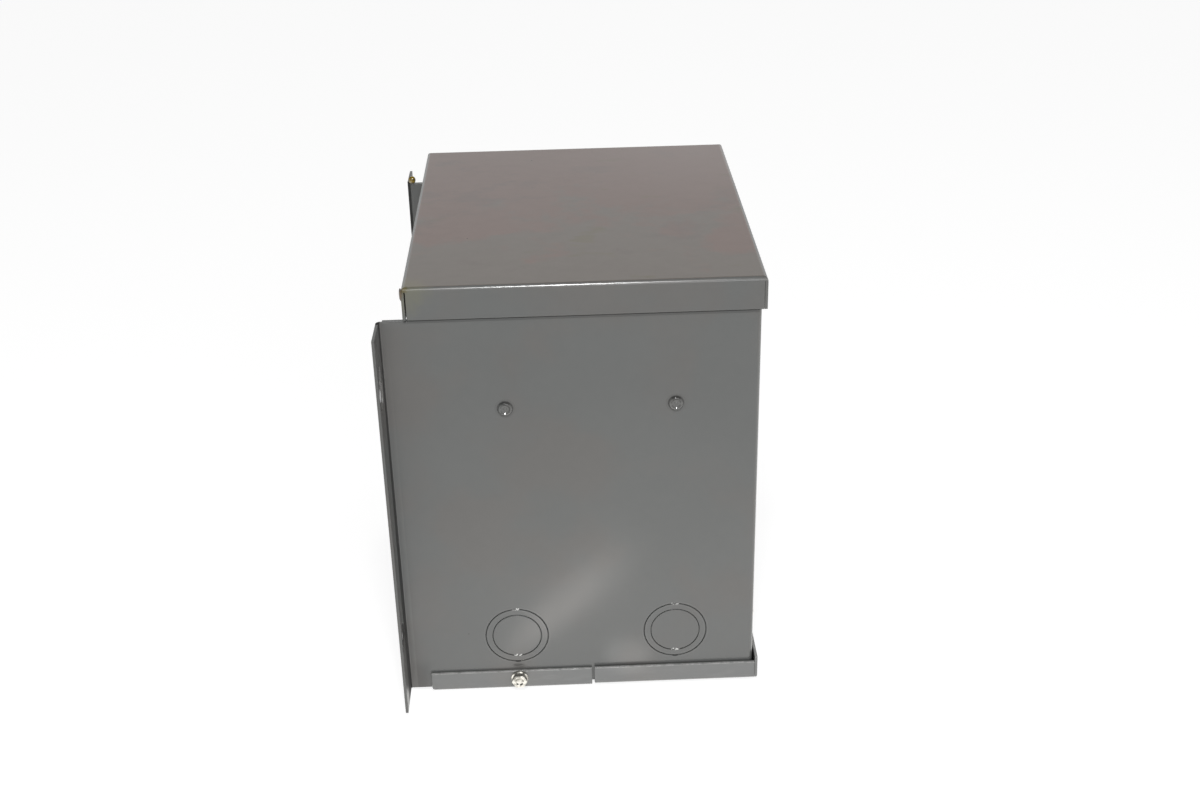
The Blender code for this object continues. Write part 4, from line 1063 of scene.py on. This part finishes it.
@dataclass
class Screws:
    """Zinc-plated hex washer-head screws with a dished top and a rolled thread."""

    washer: float = 3.97 * MM
    washer_height: float = 0.85 * MM
    hexagon: float = 3.175 * MM
    head: float = 3.55 * MM
    shank: float = 1.8 * MM
    root: float = 1.35 * MM
    pitch: float = 1.1 * MM
    thread_power: float = 2.2
    chamfer: float = 0.13
    cad_head: float = 3.6 * MM
    sharp: float = 32.0
    columns: int = 72
    head_rows: int = 64
    thread_rows: int = 96
    finish: Metal = Metal("zinc_plate", (0.5, 0.487, 0.45), (0.2, 0.193, 0.17), 0.2)

    def corners(self) -> list[Spot]:
        """The head's section from the dish's middle to the shank.

        Returns:
            Each corner's radius, its height, and how hexagonal it is.
        """
        top, rim = self.head, self.washer_height
        return [
            (0.0, top - 0.75 * MM, 0.0), (1.35 * MM, top - 0.72 * MM, 0.0),
            (2.05 * MM, top - 0.08 * MM, 0.0), (2.75 * MM, top, 0.2),
            (self.hexagon, top - 0.3 * MM, 0.9), (self.hexagon, top - 0.8 * MM, 1.0),
            (self.hexagon, rim + 0.7 * MM, 1.0), (self.hexagon + 0.05 * MM, rim + 0.15 * MM, 0.7),
            (self.washer - 0.1 * MM, rim - 0.2 * MM, 0.0), (self.washer, 0.3 * MM, 0.0),
            (self.washer - 0.05 * MM, 0.0, 0.0), (self.shank, 0.0, 0.0),
        ]

    def head_points(self, angle: np.ndarray) -> np.ndarray:
        """The head's surface.

        A hexagon's radius at an angle is its half width over the cosine of the angle from the
        nearest flat's middle. Each row blends a circle with that by how hexagonal the row is.

        Args:
            angle: The angle of each column.

        Returns:
            An array of rows, columns and three coordinates.
        """
        table = np.array(self.corners())
        places = np.arange(len(table))
        steps = np.linspace(0, len(table) - 1, self.head_rows)
        radius, height, hexed = (np.interp(steps, places, line)[:, None] for line in table.T)
        off_flat = (angle + math.pi / 6) % (math.pi / 3) - math.pi / 6
        corner = np.minimum(1.0 / np.cos(off_flat) - 1.0, self.chamfer)
        return turned(radius * (1.0 + hexed * corner), height, angle)

    def thread_points(self, angle: np.ndarray, length: float) -> np.ndarray:
        """The threaded shank.

        Its radius rises from the root to a crest once a pitch: the size of 2p - 1 to a power, where
        p is the depth over the pitch less the angle's share of a turn, without its whole part.

        Args:
            angle: The angle of each column.
            length: The shank's length.

        Returns:
            An array of rows, columns and three coordinates.
        """
        depth = np.linspace(0.0, 1.0, self.thread_rows)[:, None] * length
        phase = depth / self.pitch - angle / (2 * math.pi)
        crest = np.abs(2.0 * (phase % 1.0) - 1.0) ** self.thread_power
        taper = np.clip((length - depth) / (0.25 * length), 0.02, 1.0)
        start = np.clip(depth / self.pitch, 0.0, 1.0)
        reach = (self.root + (self.shank - self.root) * crest * start) * taper
        points = turned(reach, -depth, angle)
        tip = np.zeros_like(points[-1:])
        tip[..., 2] = -length
        return np.concatenate([points, tip])

    def build(self) -> None:
        """Makes a surface in place of each screw: sideways in the rear pan, forward elsewhere."""
        material = self.finish.material()
        angle = angles(self.columns)
        for node in sorted(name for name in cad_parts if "screw" in name):
            low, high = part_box(node)
            middle = (low + high) / 2
            size = high - low
            if "rear_pan" in node:
                side = 1.0 if middle.x > 0 else -1.0
                outward, reach = Vector((side, 0, 0)), size.x
                tip = Vector((low.x if side > 0 else high.x, middle.y, middle.z))
            else:
                outward, reach = Vector((0, -1, 0)), size.y
                tip = Vector((middle.x, high.y, middle.z))
            length = reach - self.cad_head
            points = np.concatenate([self.head_points(angle), self.thread_points(angle, length)])
            piece = grid_mesh(node + "_plated", stand(points, tip + outward * length, outward))
            put_in_place(close_and_smooth(piece, self.sharp), node, material)


@dataclass(frozen=True)
class Drop:
    """A set drop of resin that fills a CAD bead's box.

    Sag is how much fuller it is low down, lobes is how uneven it is, and flat is the power of the
    sine that rounds it.
    """

    name: str
    node: str
    finish: Resin
    sag: float
    lobes: float
    flat: float
    rows: int = 40
    columns: int = 56
    sharp: float = 60.0

    def build(self) -> None:
        """Makes the drop.

        From the pole down, each ring's radius is the sine of the polar angle to a power under one,
        so its sides are full. It is widest below its middle, and lobes of cosine make it uneven.
        """
        low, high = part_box(self.node)
        middle = np.array((low + high) / 2)
        half = np.array((high - low) / 2)
        polar = np.linspace(0.0, math.pi, self.rows)[:, None]
        angle = angles(self.columns)[None, :]
        ring = np.sin(polar) ** self.flat * (1.0 - self.sag * (0.5 + 0.5 * np.cos(polar)))
        twofold = 0.5 + 0.5 * np.cos(2 * angle + 1.3 * polar)
        threefold = 0.6 * np.sin(3 * angle + 0.7) ** 2
        uneven = 1.0 - self.lobes * twofold - self.lobes * threefold
        points = turned(ring * uneven, np.cos(polar), angle)
        piece = close_and_smooth(grid_mesh(self.name, middle + points * half), self.sharp)
        put_in_place(piece, self.node, self.finish.material())


@dataclass
class ResinDrops:
    """Two set drops of potting resin."""

    drops: tuple[Drop, ...] = (
        Drop(
            "leg_drop", "resin_bead_right_leg",
            Resin("amber_resin", (0.30, 0.2, 0.015), (0.06, 0.04, 0.006)), 0.22, 0.06, 0.72,
        ),
        Drop(
            "corner_run", "resin_bead_cover_corner",
            Resin("dark_resin", (0.085, 0.056, 0.02), (0.03, 0.02, 0.01)), 0.12, 0.12, 0.8,
        ),
    )

    def build(self) -> None:
        """Makes both drops."""
        for drop in self.drops:
            drop.build()


@dataclass
class Inside:
    """What the case holds: core, coil, clamps, compound, leads and earthing lug."""

    stack: Stack = Stack("lamination_edges")
    clamps: Metal = Metal(
        "plain_steel", (0.5, 0.5, 0.51), (0.3, 0.29, 0.28), 0.34, (1.0, 0.2, 1.0),
    )
    lug: Metal = Metal("cast_aluminium", (0.8, 0.8, 0.81), (0.55, 0.55, 0.56), 0.36)
    wire: Winding = Winding("copper_turns")
    paper: Fibre = Fibre("electrical_paper", (0.58, 0.45, 0.27), (0.42, 0.31, 0.17))
    tape: Fibre = Fibre("polyester_tape", (0.66, 0.53, 0.14), (0.52, 0.4, 0.08), 0.5)
    nylon: Moulded = Moulded("natural_nylon", (0.77, 0.75, 0.68), (0.68, 0.65, 0.57))
    compound: Moulded = Moulded(
        "potting_compound", (0.085, 0.078, 0.07), (0.045, 0.04, 0.036), 0.6, 1.3 * MM,
    )
    primary: Moulded = Moulded("black_insulation", (0.05, 0.05, 0.052), (0.03, 0.03, 0.03), 0.45)
    secondary: Moulded = Moulded("red_insulation", (0.42, 0.035, 0.03), (0.3, 0.02, 0.02), 0.45)

    def choose(self, node: str) -> Optional[Finish]:
        """The finish of an inner node, by how its name starts.

        Args:
            node: The node's name.

        Returns:
            The finish, or None for a node that isn't inside.
        """
        starts = {
            "core_e": self.stack, "core_i": self.stack, "core_bracket": self.clamps,
            "clamp_": self.clamps, "core_pad": self.paper, "layer_insulation": self.paper,
            "coil_outer": self.tape, "inner_winding": self.wire, "outer_winding": self.wire,
            "winding_former": self.nylon, "potting": self.compound, "primary_lead": self.primary,
            "secondary_lead": self.secondary, "earthing_lug": self.lug,
        }
        found = (finish for start, finish in starts.items() if node.startswith(start))
        return next(found, None)

    def build(self) -> None:
        """Dresses each inner node."""
        made: dict[str, Material] = {}
        for node, solid in sorted(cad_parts.items()):
            finish = self.choose(node)
            if finish is None:
                continue
            if finish.name not in made:
                made[finish.name] = finish.material()
            paint_on(solid, made[finish.name])
            LOG.info("%s wears %s", node, finish.name)


# Studio


@dataclass
class Viewpoint:
    """The photograph's camera, found from the straight edges of the case."""

    place: Spot = (-0.68023, 0.0068, 0.44413)
    pitch: float = 0.46517
    yaw: float = -0.02371
    roll: float = -0.0341
    focal_pixels: float = 1561.69
    width_pixels: float = 1200.0
    sensor: float = 36.0

    def build(self) -> None:
        """Makes the camera: right, down and forward, turned by pitch, then by yaw, then by roll."""
        data = bpy.data.cameras.new("viewpoint")
        data.sensor_width = self.sensor
        data.lens = self.sensor * self.focal_pixels / self.width_pixels
        data.clip_start = 0.01
        camera = bpy.data.objects.new("viewpoint", data)
        bpy.context.scene.collection.objects.link(camera)
        axes = Matrix(((0, -1, 0), (0, 0, -1), (1, 0, 0)))
        for angle, letter in ((self.pitch, "X"), (self.yaw, "Y"), (self.roll, "Z")):
            axes = Matrix.Rotation(angle, 3, letter) @ axes
        right, down, forward = axes[0], axes[1], axes[2]
        basis = Matrix((right, -down, -forward)).transposed().to_4x4()
        camera.matrix_world = Matrix.Translation(self.place) @ basis
        bpy.context.scene.camera = camera


@dataclass(frozen=True)
class Lamp:
    """A white area lamp: its place, its aim, its width and height in metres, and its watts."""

    name: str
    place: Spot
    aim: Spot
    size: Span
    power: float

    def build(self) -> None:
        """Makes the lamp."""
        data = bpy.data.lights.new(self.name, "AREA")
        data.shape = "RECTANGLE"
        data.size, data.size_y = self.size
        data.energy = self.power
        lamp = bpy.data.objects.new(self.name, data)
        turn = (Vector(self.place) - Vector(self.aim)).to_track_quat("Z", "Y").to_matrix().to_4x4()
        lamp.matrix_world = Matrix.Translation(self.place) @ turn
        bpy.context.scene.collection.objects.link(lamp)


@dataclass(frozen=True)
class Pool:
    """An oval pool of light on the floor: its middle, its halves, its edge's fade and its turn.

    The turn is the cosine and the sine of the angle from X to its length.
    """

    middle: Span
    half: Span
    fade: Span
    turn: Span = (1.0, 0.0)

    def light(self, shader: Shader) -> Wire:
        """How bright the floor is in it.

        Args:
            shader: The floor's shader.

        Returns:
            1 in the middle, and 0 outside.
        """
        x = shader.x - self.middle[0]
        y = shader.y - self.middle[1]
        cosine, sine = self.turn
        along, aside = x * cosine + y * sine, y * cosine - x * sine
        return oval(along, self.half[0], aside, self.half[1]).ramp(*self.fade)


@dataclass
class Studio:
    """A pale floor and a pale surround, with one soft lamp and one small one.

    In reflections the surround is bright near the horizon and dim overhead, and the floor is bright
    on one side only. A fade is the value where it starts and the value where it is full.
    """

    floor_half: float = 6.0
    floor_drop: float = 0.1 * MM
    surround: float = 0.66
    above: float = -0.34
    above_fade: Span = (0.1, 0.8)
    horizon: float = 0.96
    side_share: float = 0.3
    side_fade: Span = (0.62, 0.3)
    height_fades: tuple[Band, Band] = ((0.6, 0.66, 0.42), (0.4, 0.4, 0.2))
    overhead: float = 0.06
    floor_colour: float = 0.75
    seen_colour: float = 0.3
    seen_glow: float = 0.82
    far_glow: float = 0.22
    near_glows: tuple[Band, Band] = ((0.45, -0.42, -0.33), (0.9, -0.34, -0.1))
    near_end: Span = (0.2, -0.05)
    pool_glow: float = 2.9
    pool: Pool = Pool((-0.163, 0.004), (0.055, 0.011), (1.6, 0.0), (0.818, 0.575))
    foot_pool: Pool = Pool((-0.112, -0.02), (0.012, 0.012), (1.4, 0.2))
    foot_share: float = 0.5
    under_case: tuple[Band, Band] = ((-84 * MM, 84 * MM, 9 * MM), (-72 * MM, 78 * MM, 9 * MM))
    by_flanges: tuple[Band, Band] = ((-108 * MM, 108 * MM, 4 * MM), (76 * MM, 95 * MM, 3 * MM))
    flange_shade: float = 0.5
    sheen: Colour = (1.0, 0.985, 0.96)
    pool_sheen: Colour = (1.0, 0.93, 0.88)
    lamps: tuple[Lamp, ...] = (
        Lamp("camera_side_softbox", (-1.3, -0.35, 0.75), (0.0, 0.0, 0.08), (0.7, 0.7), 4.8),
        Lamp("small_key", (-0.626, 0.005, 0.898), (-0.09, 0.0, 0.15), (0.1, 0.08), 4.5),
    )

    def build(self) -> None:
        """Makes the surround, the floor and the lamps."""
        self.sky()
        self.floor()
        for lamp in self.lamps:
            lamp.build()

    def sky(self) -> None:
        """The surround: white to the camera, and even on what is matt."""
        world = bpy.data.worlds.new("surround")
        bpy.context.scene.world = world
        world.use_nodes = True
        graph = Graph(world.node_tree)
        direction = graph.node("ShaderNodeTexCoord", {}, {}, "Generated")
        height = graph.node("ShaderNodeSeparateXYZ", {}, {0: direction}, "Z")
        sideways = graph.node("ShaderNodeSeparateXYZ", {}, {0: direction}, "Y")
        ahead = self.side_share + (1.0 - self.side_share) * abs(sideways).ramp(*self.side_fade)
        low, lower = (share * height.ramp(*fade) for share, *fade in self.height_fades)
        mirrored = self.overhead + self.horizon * ahead * (low + lower)
        even = self.surround + self.above * height.ramp(*self.above_fade)
        strength = graph.choose(graph.ray("Glossy"), even, mirrored)
        background = world.node_tree.nodes["Background"]
        graph.feed(background.inputs["Color"], WHITE)
        graph.feed(background.inputs["Strength"], graph.choose(graph.seen(), strength, 1.0))

    def floor(self) -> None:
        """A pale floor. To the camera, part of its white is its own, so that a soft shadow stays.

        In reflections only, it glows with painted light: a long soft pool beside the case and a
        glow that grows towards the case, with painted shade under the case and by the flanges.
        """
        half, under = self.floor_half, -self.floor_drop
        corners = ((-half, -half), (half, -half), (half, half), (-half, half))
        mesh = bpy.data.meshes.new("floor")
        mesh.from_pydata([(x, y, under) for x, y in corners], [], [(0, 1, 2, 3)])
        plane = bpy.data.objects.new("floor", mesh)
        bpy.context.scene.collection.objects.link(plane)
        shader = Shader("pale_floor")
        seen = shader.seen()
        pool = self.pool.light(shader)
        first, second = (share * shader.x.ramp(*fade) for share, *fade in self.near_glows)
        near = (first + second) * shader.x.ramp(*self.near_end)
        pools = pool.larger(self.foot_share * self.foot_pool.light(shader))
        case, flanges = (
            shader.x.band(*across) * shader.y.band(*along)
            for across, along in (self.under_case, self.by_flanges)
        )
        # Painted light seen only in reflections, with painted shade under the case and by the
        # flanges.
        mirrored = (self.far_glow + near + self.pool_glow * pools) * (1.0 - case)
        mirrored = mirrored * (1.0 - self.flange_shade * flanges)
        glow = shader.choose(seen, shader.ray("Glossy") * mirrored, self.seen_glow)
        grey = shader.grey(shader.choose(seen, self.floor_colour, self.seen_colour))
        tint = shader.mix(seen, shader.mix(pool, self.sheen, self.pool_sheen), WHITE)
        constants = {"Roughness": 0.9, "Specular IOR Level": 0.0, "Emission Strength": 1.0}
        shader.dress(constants, colour=grey, glow=shader.shade(tint, glow))
        paint_on(plane, shader.material)


def main() -> None:
    logging.basicConfig(level=logging.INFO, format="%(message)s")
    bpy.context.scene.view_settings.view_transform = "Standard"
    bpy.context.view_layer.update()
    for assembly in (SheetMetal(), Rivets(), Screws(), ResinDrops(), Inside()):
        assembly.build()
        LOG.info("%s done", type(assembly).__name__)
    Viewpoint().build()
    Studio().build()


if __name__ == "__main__":
    main()
